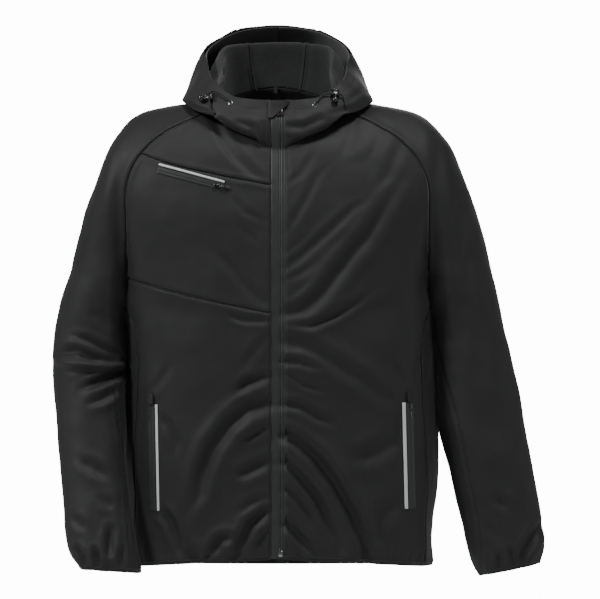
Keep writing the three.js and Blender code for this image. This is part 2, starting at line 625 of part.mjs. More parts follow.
// A flat strip that follows the cloth through a list of places
function stripOn(places, width, wall, lift) {
  const vertices = [];
  places.forEach((place, n) => {
    const next = places[Math.min(n + 1, places.length - 1)].point;
    const last = places[Math.max(n - 1, 0)].point;
    const across = next.clone().sub(last).cross(place.out).normalize();
    [[-1, 0], [1, 0], [1, 1], [-1, 1]].forEach(([side, top]) => {
      vertices.push(place.point.clone().addScaledVector(across, (side * width) / 2)
        .addScaledVector(place.out, lift + top * wall));
    });
  });
  const faces = [[0, 1, 2], [0, 2, 3]];
  for (let n = 0; n + 1 < places.length; n += 1) {
    for (let k = 0; k < 4; k += 1) {
      const [a, b] = [n * 4 + k, n * 4 + ((k + 1) % 4)];
      faces.push([a, a + 4, b + 4], [a, b + 4, b]);
    }
  }
  const end = (places.length - 1) * 4;
  faces.push([end, end + 2, end + 1], [end, end + 3, end + 2]);
  return solidFrom(vertices, faces);
}

// Places along a straight line on the front, from one (x, z) to another, moved aside by shift
function lineOn(from, to, steps, shift = 0) {
  const length = Math.hypot(to[0] - from[0], to[1] - from[1]);
  const aside = [(to[1] - from[1]) / length, -(to[0] - from[0]) / length];
  return Array.from({ length: steps + 1 }, (_, n) => {
    const t = n / steps;
    return placeOn(THREE.MathUtils.lerp(from[0], to[0], t) + aside[0] * shift,
      THREE.MathUtils.lerp(from[1], to[1], t) + aside[1] * shift);
  });
}

function roundedShape(width, height, radius) {
  const [w, h, r] = [width / 2, height / 2, radius];
  const shape = new THREE.Shape();
  shape.moveTo(-w + r, -h);
  shape.lineTo(w - r, -h).quadraticCurveTo(w, -h, w, -h + r);
  shape.lineTo(w, h - r).quadraticCurveTo(w, h, w - r, h);
  shape.lineTo(-w + r, h).quadraticCurveTo(-w, h, -w, h - r);
  shape.lineTo(-w, -h + r).quadraticCurveTo(-w, -h, -w + r, -h);
  return shape;
}

// A plate with its outline in the cloth's plane, its back at a lift above the cloth
function plateOn(name, place, shape, wall, lift, finish) {
  const geometry = new THREE.ExtrudeGeometry(shape,
    { depth: wall, bevelEnabled: false, curveSegments: 3 });
  const mesh = addPiece(name, geometry, finish);
  mesh.position.copy(place.point).addScaledVector(place.out, lift);
  mesh.quaternion.setFromRotationMatrix(
    new THREE.Matrix4().makeBasis(place.across, place.along, place.out));
  return mesh;
}

const shifted = (place, across, along) => ({
  ...place,
  point: place.point.clone().addScaledVector(place.across, across)
    .addScaledVector(place.along, along),
});

// The front zip, from the hem up to the hood's edge

function zipLine() {
  const body = BODY_STATIONS.map((row) => lookup(BODY_ROWS, 'row', row).zip);
  const collar = Array.from({ length: 7 }, (_, n) => hoodPoint('left', 0, (n + 1) / 7))
    .map((p) => [p.y, p.z]);
  return [...body, ...collar];
}

function zipSheet(name, from, to) {
  const rows = zipLine().map(([y, z]) => [from, to].map((x) => vec(x, y, z)));
  return new Sheet(name, rows, 1);
}

const { edge: zipEdge } = ZIP;
const zipSheets = [
  { sheet: zipSheet('zip_tape_right', zipEdge.right, ZIP.coil_from), wall: ZIP.tape_wall,
    lift: -ZIP.tape_sunk, finish: TAPE },
  { sheet: zipSheet('zip_coil', ZIP.coil_from, ZIP.coil_to), wall: ZIP.coil_wall,
    lift: -ZIP.coil_sunk, finish: HARD },
  { sheet: zipSheet('zip_tape_left', ZIP.coil_to, zipEdge.left), wall: ZIP.tape_wall,
    lift: -ZIP.tape_sunk, finish: TAPE },
];
zipSheets.forEach(({ sheet, wall, lift, finish }) => {
  weldNormals([sheet]);
  addPiece(sheet.name, wallOf(sheet, wall, { lift, trim: ZIP.side_gap }), finish);
});

const ZIP_STOP = { width: 6, height: 9, wall: 2.4, z: -676 };
const ZIP_SLIDER = { width: 9, height: 11, wall: 2.6, z: -4 };
const GARAGE = { wall: 1.6, lift: 2.4, corner: [-9.6, 17], drop: 27, width: 31, slope: 6 };
const coilMiddle = (ZIP.coil_from + ZIP.coil_to) / 2;

function zipPlace(z) {
  const line = zipLine();
  const i = line.findIndex(([, top]) => top >= z);
  const [low, high] = [line[i - 1], line[i]];
  const t = (z - low[1]) / (high[1] - low[1]);
  const along = vec(0, high[0] - low[0], high[1] - low[1]).normalize();
  return {
    point: vec(coilMiddle, THREE.MathUtils.lerp(low[0], high[0], t), z),
    along, across: vec(1, 0, 0), out: vec(1, 0, 0).cross(along),
  };
}

plateOn('zip_stop', zipPlace(ZIP_STOP.z), roundedShape(ZIP_STOP.width, ZIP_STOP.height, 1.2),
  ZIP_STOP.wall, TRIM_LIFT, METAL);
plateOn('zip_slider', zipPlace(ZIP_SLIDER.z),
  roundedShape(ZIP_SLIDER.width, ZIP_SLIDER.height, 2), ZIP_SLIDER.wall - TRIM_LIFT, TRIM_LIFT,
  HARD);

// The chin guard: a fold of cloth over the zip's top, its lower edge cut on the slant
function garageShape() {
  const { drop, width, slope } = GARAGE;
  const shape = new THREE.Shape();
  shape.moveTo(0, 0);
  shape.lineTo(0, -drop).lineTo(slope, -drop).lineTo(width, -slope).lineTo(width, 0);
  shape.closePath();
  return shape;
}

const garageTop = zipPlace(GARAGE.corner[1] - 1);
garageTop.point.x = zipEdge.right - 4;
plateOn('zip_garage', garageTop, garageShape(), GARAGE.wall, GARAGE.lift + ZIP_SLIDER.wall / 2,
  SHELL);

// Pockets. from and to: x and z of the piping's ends, band: the zip band's place beside the
// piping, slider_at: the slider's place along the band, hangs: 1 where the pull lies on
// towards the band's end and -1 where it hangs down it from the top.
const POCKETS = {
  chest: { from: [-180.3, -83], to: [-80.1, -110], band_shift: 8.2, band_width: 9.5,
    piping_width: 4.6, slider_at: 0.9, pull_length: 15,
    hangs: 1 },
  hand_left: { from: [192.5, -446], to: [196.5, -608], band_shift: -9.2, band_width: 11,
    piping_width: 6.4, slider_at: 0.04, pull_length: 13,
    hangs: -1 },
  hand_right: { from: [-184, -449], to: [-181, -611], band_shift: 8.4, band_width: 10,
    piping_width: 5.2, slider_at: 0.04, pull_length: 13,
    hangs: -1 },
};
const PIPING_WALL = 1.6;
const BAND_WALL = 0.9;
const SLIDER = { width: 7, height: 9, wall: 3.0 };
const PULL = { width: 4.6, wall: 1.4, gap: 0.7, lift: 2.6 };
const HAND_GARAGE = { width: 12, height: 17, wall: 2.2, lift: TRIM_LIFT };
const STRIP_STEPS = 12;

function addPocket(name, pocket) {
  const { from, to } = pocket;
  addPiece(`${name}_piping`, stripOn(lineOn(from, to, STRIP_STEPS), pocket.piping_width,
    PIPING_WALL, TRIM_LIFT), PIPING);
  const band = lineOn(from, to, STRIP_STEPS, pocket.band_shift);
  addPiece(`${name}_zip_tape`, stripOn(band, pocket.band_width, BAND_WALL, TRIM_LIFT), TAPE);
  const slope = THREE.MathUtils.radToDeg(Math.atan2(to[1] - from[1], to[0] - from[0]));
  const at = band[0].point.clone().lerp(band.at(-1).point, pocket.slider_at);
  const place = placeOn(at.x, at.z, slope - 90 * pocket.hangs);
  const base = TRIM_LIFT + BAND_WALL + SEAM_GAP;
  plateOn(`${name}_slider`, place, roundedShape(SLIDER.width, SLIDER.height, 1.6),
    SLIDER.wall, base, HARD);
  const reach = SLIDER.height / 2 + PULL.gap;
  const hang = shifted(place, 0, pocket.hangs * (reach + pocket.pull_length / 2));
  plateOn(`${name}_pull`, hang, roundedShape(PULL.width, pocket.pull_length, 1.4),
    PULL.wall, PULL.lift, HARD);
  return place;
}

for (const [name, pocket] of Object.entries(POCKETS)) {
  const place = addPocket(name, pocket);
  if (name === 'chest') continue;
  const side = name.split('_')[1];
  const above = shifted(place, 0,
    SLIDER.height / 2 + SEAM_GAP + HAND_GARAGE.height / 2 + 1.5);
  plateOn(`hand_garage_${side}`, above,
    roundedShape(HAND_GARAGE.width, HAND_GARAGE.height, 4.5), HAND_GARAGE.wall,
    HAND_GARAGE.lift + BAND_WALL + SEAM_GAP, SHELL);
}

// The hood's adjusters: an eyelet near the hood's edge, a cord out of it, and a sprung lock
// that it runs through. route: x and z of the cord's points up to the lock, tail: those of its
// free end, lock: x and z of the lock's middle, turn: the way its button points.
const ADJUSTERS = {
  left: {
    eyelet: [57.8, 8.5], lock: [88, 23], turn: 180,
    route: [[57.8, 8.5], [60, 12], [63, 15], [67, 18], [72, 20.5], [77, 22.3], [81.4, 23]],
    tail: [[94.4, 23], [98, 21.5], [101, 18], [103, 13], [104, 8]],
  },
  right: {
    eyelet: [-71.6, 12], lock: [-102.5, 18], turn: 90,
    route: [[-71.6, 12], [-76, 16], [-81, 20], [-87, 24], [-93, 27], [-99, 28], [-102.3, 25]],
    tail: [[-102.5, 11.5], [-102, 7], [-101, 3], [-99, -1], [-97, -4]],
  },
};
const EYELET = { outer: 4.4, inner: 2.1, wall: 1.0 };
const CORD = { radius: 1.4, sides: 8, lift: 1.9, start: 3.1, steps: 3 };
const LOCK = { width: 12, depth: 9, length: 12, hole: 3.0, lift: 0.7, corner: 3.4 };
const BUTTON = { knob: 5.2, knob_length: 8.5, stem: 2.6, stem_in: 6, travel: 3.3 };
const ROUND = 12;

function turnedSolid(name, profile, axis, centre, finish) {
  const geometry = new THREE.LatheGeometry(profile.map(([r, y]) => new THREE.Vector2(r, y)),
    ROUND);
  const mesh = addPiece(name, geometry, finish);
  mesh.position.copy(centre);
  mesh.quaternion.setFromUnitVectors(vec(0, 1, 0), axis);
  return mesh;
}

function cordTube(name, places, lifts) {
  const points = places.map((place, n) => place.point.clone()
    .addScaledVector(place.out, lifts[n]));
  const path = new THREE.CatmullRomCurve3(points);
  const ring = new THREE.Shape();
  ring.absarc(0, 0, CORD.radius, 0, Math.PI * 2);
  const geometry = new THREE.ExtrudeGeometry(ring, {
    extrudePath: path, steps: (points.length - 1) * CORD.steps, curveSegments: CORD.sides / 2,
    bevelEnabled: false,
  });
  addPiece(name, geometry, RIB);
}

function addAdjuster(side, { eyelet, lock, turn, route, tail }) {
  const seat = placeOn(...eyelet);
  const { outer, inner, wall } = EYELET;
  turnedSolid(`eyelet_${side}`, [[inner, 0], [outer, 0], [outer - 0.5, wall], [inner, wall],
    [inner, 0]], seat.out, seat.point.clone().addScaledVector(seat.out, TRIM_LIFT), METAL);
  const middle = LOCK.lift + LOCK.depth / 2;
  const lifts = route.map((_, n) => THREE.MathUtils.lerp(CORD.start, middle,
    Math.min(1, n / (route.length - 1))));
  cordTube(`drawcord_${side}`, route.map((p) => placeOn(...p)), lifts);
  const tailLifts = tail.map((_, n) => THREE.MathUtils.lerp(middle, CORD.lift,
    n / (tail.length - 1)));
  cordTube(`drawcord_end_${side}`, tail.map((p) => placeOn(...p)), tailLifts);
  const place = placeOn(...lock, turn);
  const centre = place.point.clone().addScaledVector(place.out, middle);
  const shape = roundedShape(LOCK.width, LOCK.depth, LOCK.corner);
  const hole = new THREE.Path();
  hole.absarc(0, 0, LOCK.hole, 0, Math.PI * 2, true);
  shape.holes.push(hole);
  const body = addPiece(`cord_lock_${side}`, new THREE.ExtrudeGeometry(shape,
    { depth: LOCK.length, bevelEnabled: false, curveSegments: 3 }), HARD);
  body.position.copy(centre).addScaledVector(place.along, -LOCK.length / 2);
  body.quaternion.setFromRotationMatrix(new THREE.Matrix4().makeBasis(
    place.across, place.out.clone().negate(), place.along));
  const { knob, knob_length: far, stem, stem_in: deep, travel } = BUTTON;
  turnedSolid(`cord_lock_button_${side}`, [[0, -deep - travel], [stem, -deep - travel],
    [stem, 0], [knob * 0.8, 0], [knob, far * 0.3], [knob, far * 0.6], [knob * 0.7, far * 0.9],
    [0, far]], place.along,
  centre.clone().addScaledVector(place.along, LOCK.length / 2 + travel), HARD);
}

for (const [side, adjuster] of Object.entries(ADJUSTERS)) addAdjuster(side, adjuster);

// A small plain tab sewn into the back neck seam
const NECK_TAB = { width: 6, height: 10, wall: 0.8, at: [-3, 75.4, 36] };
plateOn('neck_tab', {
  point: vec(...NECK_TAB.at), across: vec(1, 0, 0), along: vec(0, 0, 1), out: vec(0, -1, 0),
}, roundedShape(NECK_TAB.width, NECK_TAB.height, 0.8), NECK_TAB.wall, 0, RIB);

export default jacket;
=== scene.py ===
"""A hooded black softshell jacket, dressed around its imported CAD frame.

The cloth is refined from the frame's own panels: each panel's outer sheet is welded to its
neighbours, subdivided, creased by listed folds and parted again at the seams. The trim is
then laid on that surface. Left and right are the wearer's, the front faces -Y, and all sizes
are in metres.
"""

import json
import logging
import math
from dataclasses import dataclass, field
from enum import Enum
from typing import Callable, Optional, Sequence

import bmesh
import bpy
import numpy as np
from mathutils import Matrix, Vector, noise
from mathutils.bvhtree import BVHTree
from mathutils.kdtree import KDTree

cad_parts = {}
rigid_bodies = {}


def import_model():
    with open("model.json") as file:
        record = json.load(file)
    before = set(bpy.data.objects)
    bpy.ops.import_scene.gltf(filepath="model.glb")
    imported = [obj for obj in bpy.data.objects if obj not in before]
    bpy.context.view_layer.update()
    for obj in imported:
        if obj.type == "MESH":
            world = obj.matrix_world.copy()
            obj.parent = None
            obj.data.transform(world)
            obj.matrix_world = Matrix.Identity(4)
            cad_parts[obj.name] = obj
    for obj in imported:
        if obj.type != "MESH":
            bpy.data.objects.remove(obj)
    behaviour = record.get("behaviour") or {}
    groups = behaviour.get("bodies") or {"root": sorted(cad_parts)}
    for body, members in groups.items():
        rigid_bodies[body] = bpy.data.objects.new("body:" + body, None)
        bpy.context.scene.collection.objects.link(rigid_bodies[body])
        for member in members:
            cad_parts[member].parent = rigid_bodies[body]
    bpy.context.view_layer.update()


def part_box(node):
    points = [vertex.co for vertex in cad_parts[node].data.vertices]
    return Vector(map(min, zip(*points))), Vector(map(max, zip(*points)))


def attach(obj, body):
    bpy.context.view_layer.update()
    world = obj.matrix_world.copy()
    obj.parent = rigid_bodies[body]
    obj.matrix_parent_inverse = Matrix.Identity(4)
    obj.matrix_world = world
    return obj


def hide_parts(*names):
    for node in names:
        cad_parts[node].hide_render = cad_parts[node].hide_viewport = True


log = logging.getLogger("softshell_jacket")

MM = 0.001
CLOTH = 0.0019
BODY = "jacket"
BODY_NODES = ("front_left", "front_right_lower", "front_right_chest", "front_right_yoke",
              "back", "sleeve_left", "sleeve_right")
HOOD_NODES = ("hood_left", "hood_centre", "hood_right")


class Side(Enum):
    """The wearer's side, with the sign of its x."""

    LEFT = 1
    RIGHT = -1

    @property
    def word(self) -> str:
        """The side's name as the frame's nodes spell it."""
        return self.name.lower()


class Slot(Enum):
    """The record's material slots."""

    SHELL = "shell"
    LINING = "lining"
    BINDING = "binding"
    TAPE = "zip_tape"
    PIPING = "piping"
    CORD = "cord"
    HARDWARE = "hardware"
    STEEL = "steel"


# Shader maths


class Sock:
    """A node output that can be used in Python expressions."""

    def __init__(self, tree: bpy.types.NodeTree, socket: bpy.types.NodeSocket) -> None:
        """Wrap one output socket of a tree."""
        self.tree = tree
        self.socket = socket

    def _math(self, operation: str, *values: "Sock | float") -> "Sock":
        """Add a Math node over the values."""
        node = self.tree.nodes.new("ShaderNodeMath")
        node.operation = operation
        for i, value in enumerate(values):
            feed(self.tree, node.inputs[i], value)
        return Sock(self.tree, node.outputs[0])

    def __add__(self, other: "Sock | float") -> "Sock":
        """self + other."""
        return self._math("ADD", self, other)

    def __sub__(self, other: "Sock | float") -> "Sock":
        """self - other."""
        return self._math("SUBTRACT", self, other)

    def __mul__(self, other: "Sock | float") -> "Sock":
        """self * other."""
        return self._math("MULTIPLY", self, other)

    def __truediv__(self, other: "Sock | float") -> "Sock":
        """self / other."""
        return self._math("DIVIDE", self, other)

    def __radd__(self, other: float) -> "Sock":
        """other + self."""
        return self._math("ADD", other, self)

    def __rsub__(self, other: float) -> "Sock":
        """other - self."""
        return self._math("SUBTRACT", other, self)

    def __rmul__(self, other: float) -> "Sock":
        """other * self."""
        return self._math("MULTIPLY", other, self)

    def power(self, exponent: float) -> "Sock":
        """self to a power."""
        return self._math("POWER", self, exponent)

    def sine(self) -> "Sock":
        """The sine of self."""
        return self._math("SINE", self)

    def below(self, limit: float) -> "Sock":
        """1 where self is below the limit, else 0."""
        return self._math("LESS_THAN", self, limit)

    def clamped(self) -> "Sock":
        """self held between 0 and 1."""
        return self._math("MINIMUM", self._math("MAXIMUM", self, 0.0), 1.0)

    def bell(self, width: float) -> "Sock":
        """A smooth bump of height 1 about 0, with this half-width."""
        scaled = self * (1.0 / width)
        return self._math("EXPONENT", scaled * scaled * -1.0)


def feed(tree: bpy.types.NodeTree, socket: bpy.types.NodeSocket, value: object) -> None:
    """Link a Sock to an input, or set the input's own value."""
    if isinstance(value, Sock):
        tree.links.new(value.socket, socket)
    else:
        socket.default_value = value


class Paint:
    """One node material with a Principled surface."""

    def __init__(self, name: str, **fixed: object) -> None:
        """Start a material.

        Args:
            name: the material's name.
            fixed: values for the shader's own sockets, with _ for each space.
        """
        self.material = bpy.data.materials.new(name)
        self.material.use_nodes = True
        self.tree = self.material.node_tree
        self.shader = self.tree.nodes["Principled BSDF"]
        for key, value in fixed.items():
            self.shader.inputs[key.replace("_", " ")].default_value = value

    def node(self, kind: str, settings: Optional[dict] = None, out: int | str = 0,
             **inputs: object) -> Sock:
        """Add any node.

        Args:
            kind: the node's type, without the ShaderNode prefix.
            settings: the node's own properties, set first.
            out: which output to return.
            inputs: values or Socks for its inputs, with _ for each space.

        Returns:
            The chosen output.
        """
        node = self.tree.nodes.new("ShaderNode" + kind)
        for key, value in (settings or {}).items():
            setattr(node, key, value)
        for key, value in inputs.items():
            feed(self.tree, node.inputs[key.replace("_", " ")], value)
        return Sock(self.tree, node.outputs[out])

    def place(self) -> Sock:
        """The point's place in the piece's own frame."""
        return self.node("TexCoord", out="Object")

    def noise(self, scale: float, detail: float = 2.0, vector: Optional[Sock] = None) -> Sock:
        """Noise of this many waves a metre."""
        where = vector or self.place()
        return self.node("TexNoise", None, "Fac", Vector=where, Scale=scale, Detail=detail)

    def attribute(self, name: str) -> Sock:
        """A number stored on the mesh."""
        return self.node("Attribute", {"attribute_name": name}, "Fac")

    def mix(self, share: Sock | float, low: Sequence[float], high: Sequence[float]) -> Sock:
        """A colour between two, or between a Sock's colour and one."""
        node = self.tree.nodes.new("ShaderNodeMix")
        node.data_type = "RGBA"
        feed(self.tree, node.inputs[0], share)
        for socket, colour in ((node.inputs[6], low), (node.inputs[7], high)):
            feed(self.tree, socket, colour if isinstance(colour, Sock) else (*colour, 1.0))
        return Sock(self.tree, node.outputs[2])

    def bump(self, height: Sock, distance: float, strength: float = 1.0,
             under: Optional[Sock] = None) -> Sock:
        """A Bump node's normal.

        Args:
            height: from 0 to 1.
            distance: how far a height of 1 stands out.
            strength: the share of it that shows.
            under: a normal that it is laid on.
        """
        extra = {} if under is None else {"Normal": under}
        return self.node("Bump", None, "Normal", Height=height, Distance=distance,
                         Strength=strength, **extra)

    def finish(self, colour: Optional[Sock] = None, roughness: Optional[Sock] = None,
               normal: Optional[Sock] = None) -> bpy.types.Material:
        """Link what varies to the shader and return the material."""
        for name, value in (("Base Color", colour), ("Roughness", roughness),
                            ("Normal", normal)):
            if value is not None:
                feed(self.tree, self.shader.inputs[name], value)
        return self.material


@dataclass(frozen=True)
class Softshell:
    """The bonded shell cloth: a smooth, matt, tightly knitted black face.

    Its seams are pressed in, with a faint line of needle marks on both sides, and its colour is
    darkened along each seam line as painted shade in the groove.
    """

    dark: tuple[float, float, float] = (0.0125, 0.0135, 0.0128)
    worn: tuple[float, float, float] = (0.019, 0.0205, 0.0192)
    grain: float = 1500.0
    mottle: float = 26.0

    def make(self, name: str = "softshell_face") -> bpy.types.Material:
        """Build the material."""
        paint = Paint(name, Roughness=0.62, Specular_IOR_Level=0.34, Sheen_Weight=0.08,
                      Sheen_Roughness=0.42)
        mottle = paint.noise(self.mottle, 3.0)
        fine = paint.noise(self.grain, 1.0)
        knit = paint.node("TexVoronoi", None, "Distance", Vector=paint.place(), Scale=1150.0)
        seam = paint.attribute("seam")
        # The seam bell darkens the colour below as painted shade along each seam groove; it also
        # presses the groove in through the bump.
        crease = seam.bell(1.1 * MM)
        colour = paint.mix((mottle * 0.75 + fine * 0.25 - crease * 0.6).clamped(),
                           self.dark, self.worn)
        rough = mottle * 0.10 + fine * 0.07 + 0.53
        grain = paint.bump(knit * 0.55 + fine * 0.45, 0.10 * MM, 0.55)
        slub = paint.bump(mottle, 0.9 * MM, 0.5, grain)
        pressed = paint.bump(1.0 - crease, 0.9 * MM, 1.0, slub)
        return paint.finish(colour, rough, pressed)


@dataclass(frozen=True)
class Fleece:
    """The brushed inner face: short charcoal nap."""

    deep: tuple[float, float, float] = (0.0125, 0.0140, 0.0130)
    tip: tuple[float, float, float] = (0.035, 0.0385, 0.0365)

    def make(self, name: str = "fleece_lining") -> bpy.types.Material:
        """Build the material."""
        paint = Paint(name, Roughness=0.95, Specular_IOR_Level=0.15, Sheen_Weight=0.16,
                      Sheen_Roughness=0.6)
        nap = paint.noise(420.0, 4.0)
        tuft = paint.noise(90.0, 2.0)
        colour = paint.mix((nap * 0.7 + tuft * 0.5 - 0.1).clamped(), self.deep, self.tip)
        raised = paint.bump(nap * 0.7 + tuft * 0.3, 0.7 * MM, 0.8)
        return paint.finish(colour, None, raised)


@dataclass(frozen=True)
class Rib:
    """Elastic binding, cord and tape cloth: fine ribs across the piece's own u direction."""

    dark: tuple[float, float, float] = (0.008, 0.0082, 0.0082)
    light: tuple[float, float, float] = (0.018, 0.0185, 0.0182)
    pitch: float = 0.9 * MM
    rough: float = 0.72

    def make(self, name: str) -> bpy.types.Material:
        """Build the material."""
        paint = Paint(name, Roughness=self.rough, Specular_IOR_Level=0.35, Sheen_Weight=0.12)
        along = paint.attribute("along")
        rib = (along * (2.0 * math.pi / self.pitch)).sine() * 0.5 + 0.5
        fuzz = paint.noise(900.0, 2.0)
        colour = paint.mix((rib * 0.6 + fuzz * 0.4).clamped(), self.dark, self.light)
        raised = paint.bump(rib * 0.8 + fuzz * 0.2, 0.25 * MM, 0.8)
        return paint.finish(colour, fuzz * 0.2 + (self.rough - 0.1), raised)


@dataclass(frozen=True)
class Laminate:
    """Film-faced zip tape: smooth, dark and slightly glossy."""

    def make(self, name: str = "laminated_tape") -> bpy.types.Material:
        """Build the material."""
        paint = Paint(name, Roughness=0.5, Specular_IOR_Level=0.4)
        film = paint.noise(60.0, 3.0)
        cloth = paint.noise(1100.0, 1.0)
        colour = paint.mix((film * 0.7 + cloth * 0.3).clamped(), (0.020, 0.0230, 0.0222),
                           (0.034, 0.0385, 0.0370))
        raised = paint.bump(film * 0.8 + cloth * 0.2, 0.25 * MM, 0.6)
        return paint.finish(colour, film * 0.15 + 0.42, raised)


@dataclass(frozen=True)
class Reflective:
    """Silver-white reflective piping: a beaded film on cloth."""

    def make(self, name: str = "reflective_piping") -> bpy.types.Material:
        """Build the material."""
        paint = Paint(name, Roughness=0.38, Specular_IOR_Level=0.6)
        bead = paint.node("TexVoronoi", None, "Distance", Vector=paint.place(), Scale=1500.0)
        soil = paint.noise(70.0, 3.0)
        colour = paint.mix((bead * 0.35 + soil * 0.5).clamped(), (0.78, 0.79, 0.80),
                           (0.50, 0.51, 0.52))
        raised = paint.bump(bead, 0.08 * MM, 0.6)
        return paint.finish(colour, soil * 0.25 + 0.28, raised)


@dataclass(frozen=True)
class Moulded:
    """Black moulded acetal, polished by handling."""

    def make(self, name: str = "moulded_black") -> bpy.types.Material:
        """Build the material."""
        paint = Paint(name, Roughness=0.26, Specular_IOR_Level=0.55, Coat_Weight=0.25,
                      Coat_Roughness=0.12)
        scuff = paint.noise(260.0, 4.0)
        colour = paint.mix(scuff, (0.006, 0.006, 0.006), (0.014, 0.014, 0.014))
        raised = paint.bump(scuff, 0.06 * MM, 0.6)
        return paint.finish(colour, scuff * 0.22 + 0.16, raised)


@dataclass(frozen=True)
class DarkSteel:
    """Dark plated metal with random brighter scuffs."""

    def make(self, name: str = "dark_plated_metal") -> bpy.types.Material:
        """Build the material."""
        paint = Paint(name, Roughness=0.25, Metallic=1.0)
        scuff = paint.noise(500.0, 3.0)
        colour = paint.mix(scuff, (0.20, 0.205, 0.21), (0.45, 0.455, 0.46))
        return paint.finish(colour, scuff * 0.2 + 0.15, paint.bump(scuff, 0.04 * MM, 0.5))


@dataclass(frozen=True)
class Thread:
    """Black polyester sewing thread with a slight shine."""

    def make(self, name: str = "sewing_thread") -> bpy.types.Material:
        """Build the material."""
        paint = Paint(name, Roughness=0.45, Specular_IOR_Level=0.5, Sheen_Weight=0.1)
        ply = paint.noise(2600.0, 1.0)
        colour = paint.mix(ply, (0.010, 0.0105, 0.0105), (0.030, 0.031, 0.030))
        return paint.finish(colour, None, paint.bump(ply, 0.06 * MM, 0.7))


class Wardrobe:
    """The materials, each made once."""

    def __init__(self) -> None:
        """Make every finish."""
        self.shell = Softshell().make()
        self.fleece = Fleece().make()
        # The brim facings are a copy of the fleece about three times brighter: painted light,
        # standing in for the light the facings catch in the hood's mouth.
        self.facing = Fleece((0.036, 0.039, 0.037), (0.105, 0.112, 0.108)).make("brim_facing")
        self.binding = Rib().make("elastic_binding")
        self.cord = Rib(pitch=1.3 * MM, rough=0.6).make("braided_cord")
        self.tape = Laminate().make()
        self.piping = Reflective().make()
        self.moulded = Moulded().make()
        self.steel = DarkSteel().make()
        self.thread = Thread().make()


# Making objects


def to_object(bm: bmesh.types.BMesh, name: str, *materials: bpy.types.Material,
              smooth: bool = True) -> bpy.types.Object:
    """Turn a bmesh into an object in the scene, and free the bmesh."""
    mesh = bpy.data.meshes.new(name)
    bm.to_mesh(mesh)
    bm.free()
    for material in materials:
        mesh.materials.append(material)
    if smooth:
        mesh.shade_smooth()
    piece = bpy.data.objects.new(name, mesh)
    bpy.context.scene.collection.objects.link(piece)
    return piece


def add_modifier(piece: bpy.types.Object, kind: str, **settings: object) -> bpy.types.Modifier:
    """Add a modifier with its settings."""
    modifier = piece.modifiers.new(kind.title(), kind)
    for key, value in settings.items():
        setattr(modifier, key, value)
    return modifier


def baked(piece: bpy.types.Object) -> bpy.types.Object:
    """Apply the piece's modifiers to its mesh."""
    graph = bpy.context.evaluated_depsgraph_get()
    graph.update()
    mesh = bpy.data.meshes.new_from_object(piece.evaluated_get(graph))
    mesh.name = piece.name
    old = piece.data
    piece.modifiers.clear()
    piece.data = mesh
    bpy.data.meshes.remove(old)
    return piece


def dress(piece: bpy.types.Object, slot: Slot, *nodes: str, body: str = BODY) -> bpy.types.Object:
    """Say what a finished piece rides on and stands for, and log it."""
    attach(piece, body)
    if nodes:
        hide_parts(*nodes)
    log.info("%s: %d faces, for %s", piece.name, len(piece.data.polygons), nodes or "no node")
    return piece


# The folds of the cloth


# Millimetres for each pixel of the 600-pixel front view, and the pixel of the frame's origin
PIXEL = 1.54
ORIGIN_PIXEL = (277.5, 112.0)


def seen(x: float, y: float) -> tuple[float, float]:
    """The x and z in millimetres of what stands at a pixel of the front view."""
    return (x - ORIGIN_PIXEL[0]) * PIXEL, (ORIGIN_PIXEL[1] - y) * PIXEL


def smooth(share: np.ndarray) -> np.ndarray:
    """A share from 0 to 1, with soft ends."""
    return share * share * (3.0 - 2.0 * share)


# How much of the drawn depth the folds above CHEST_Z and below WAIST_Z keep, and of the width
HIGH_DEPTH = 0.68
LOW_DEPTH = 1.6
CHEST_Z = -250.0
WAIST_Z = -400.0
NARROWER = 0.84
# The shares of a crease's length in which it sets in and fades out
SETS_IN = 0.22
FADES_OUT = 0.45


@dataclass(frozen=True)
class Crease:
    """One soft trough, or a ridge, drawn on the front view or on its mirror from behind.

    places are points of the 600-pixel view. width is the trough's half-width and depth how far
    it goes in, in millimetres (minus stands out). start and end are the shares of the depth that
    are left at its ends, and bank is how high the cloth rises beside it.
    """

    places: tuple[tuple[float, float], ...]
    width: float
    depth: float
    start: float = 0.35
    end: float = 0.0
    bank: float = 0.38

    def height(self, x: np.ndarray, z: np.ndarray) -> np.ndarray:
        """The crease's height at many places, in millimetres."""
        line = [np.array(seen(*p)) for p in self.places]
        spans = [float(np.hypot(*(b - a))) for a, b in zip(line, line[1:])]
        total = sum(spans)
        nearest = np.full(len(x), 1e9)
        share = np.zeros(len(x))
        begun = 0.0
        for a, b, span in zip(line, line[1:], spans):
            run = (b - a) / span
            along = np.clip((x - a[0]) * run[0] + (z - a[1]) * run[1], 0.0, span)
            off = np.hypot(x - a[0] - along * run[0], z - a[1] - along * run[1])
            closer = off < nearest
            nearest = np.where(closer, off, nearest)
            share = np.where(closer, (begun + along) / total, share)
            begun += span
        head = self.start + (1.0 - self.start) * np.clip(share / SETS_IN, 0.0, 1.0)
        tail = self.end + (1.0 - self.end) * np.clip((1.0 - share) / FADES_OUT, 0.0, 1.0)
        strength = head * smooth(tail)
        off = nearest / (NARROWER * self.width * (0.75 + 0.25 * strength))
        trough = np.exp(-off * off)
        banks = np.exp(-(((off - 2.0) / 0.95) ** 2))
        low = min(max((line[0][1] - CHEST_Z) / (WAIST_Z - CHEST_Z), 0.0), 1.0)
        deep = HIGH_DEPTH + (LOW_DEPTH - HIGH_DEPTH) * low
        return deep * self.depth * strength * (self.bank * banks - trough)


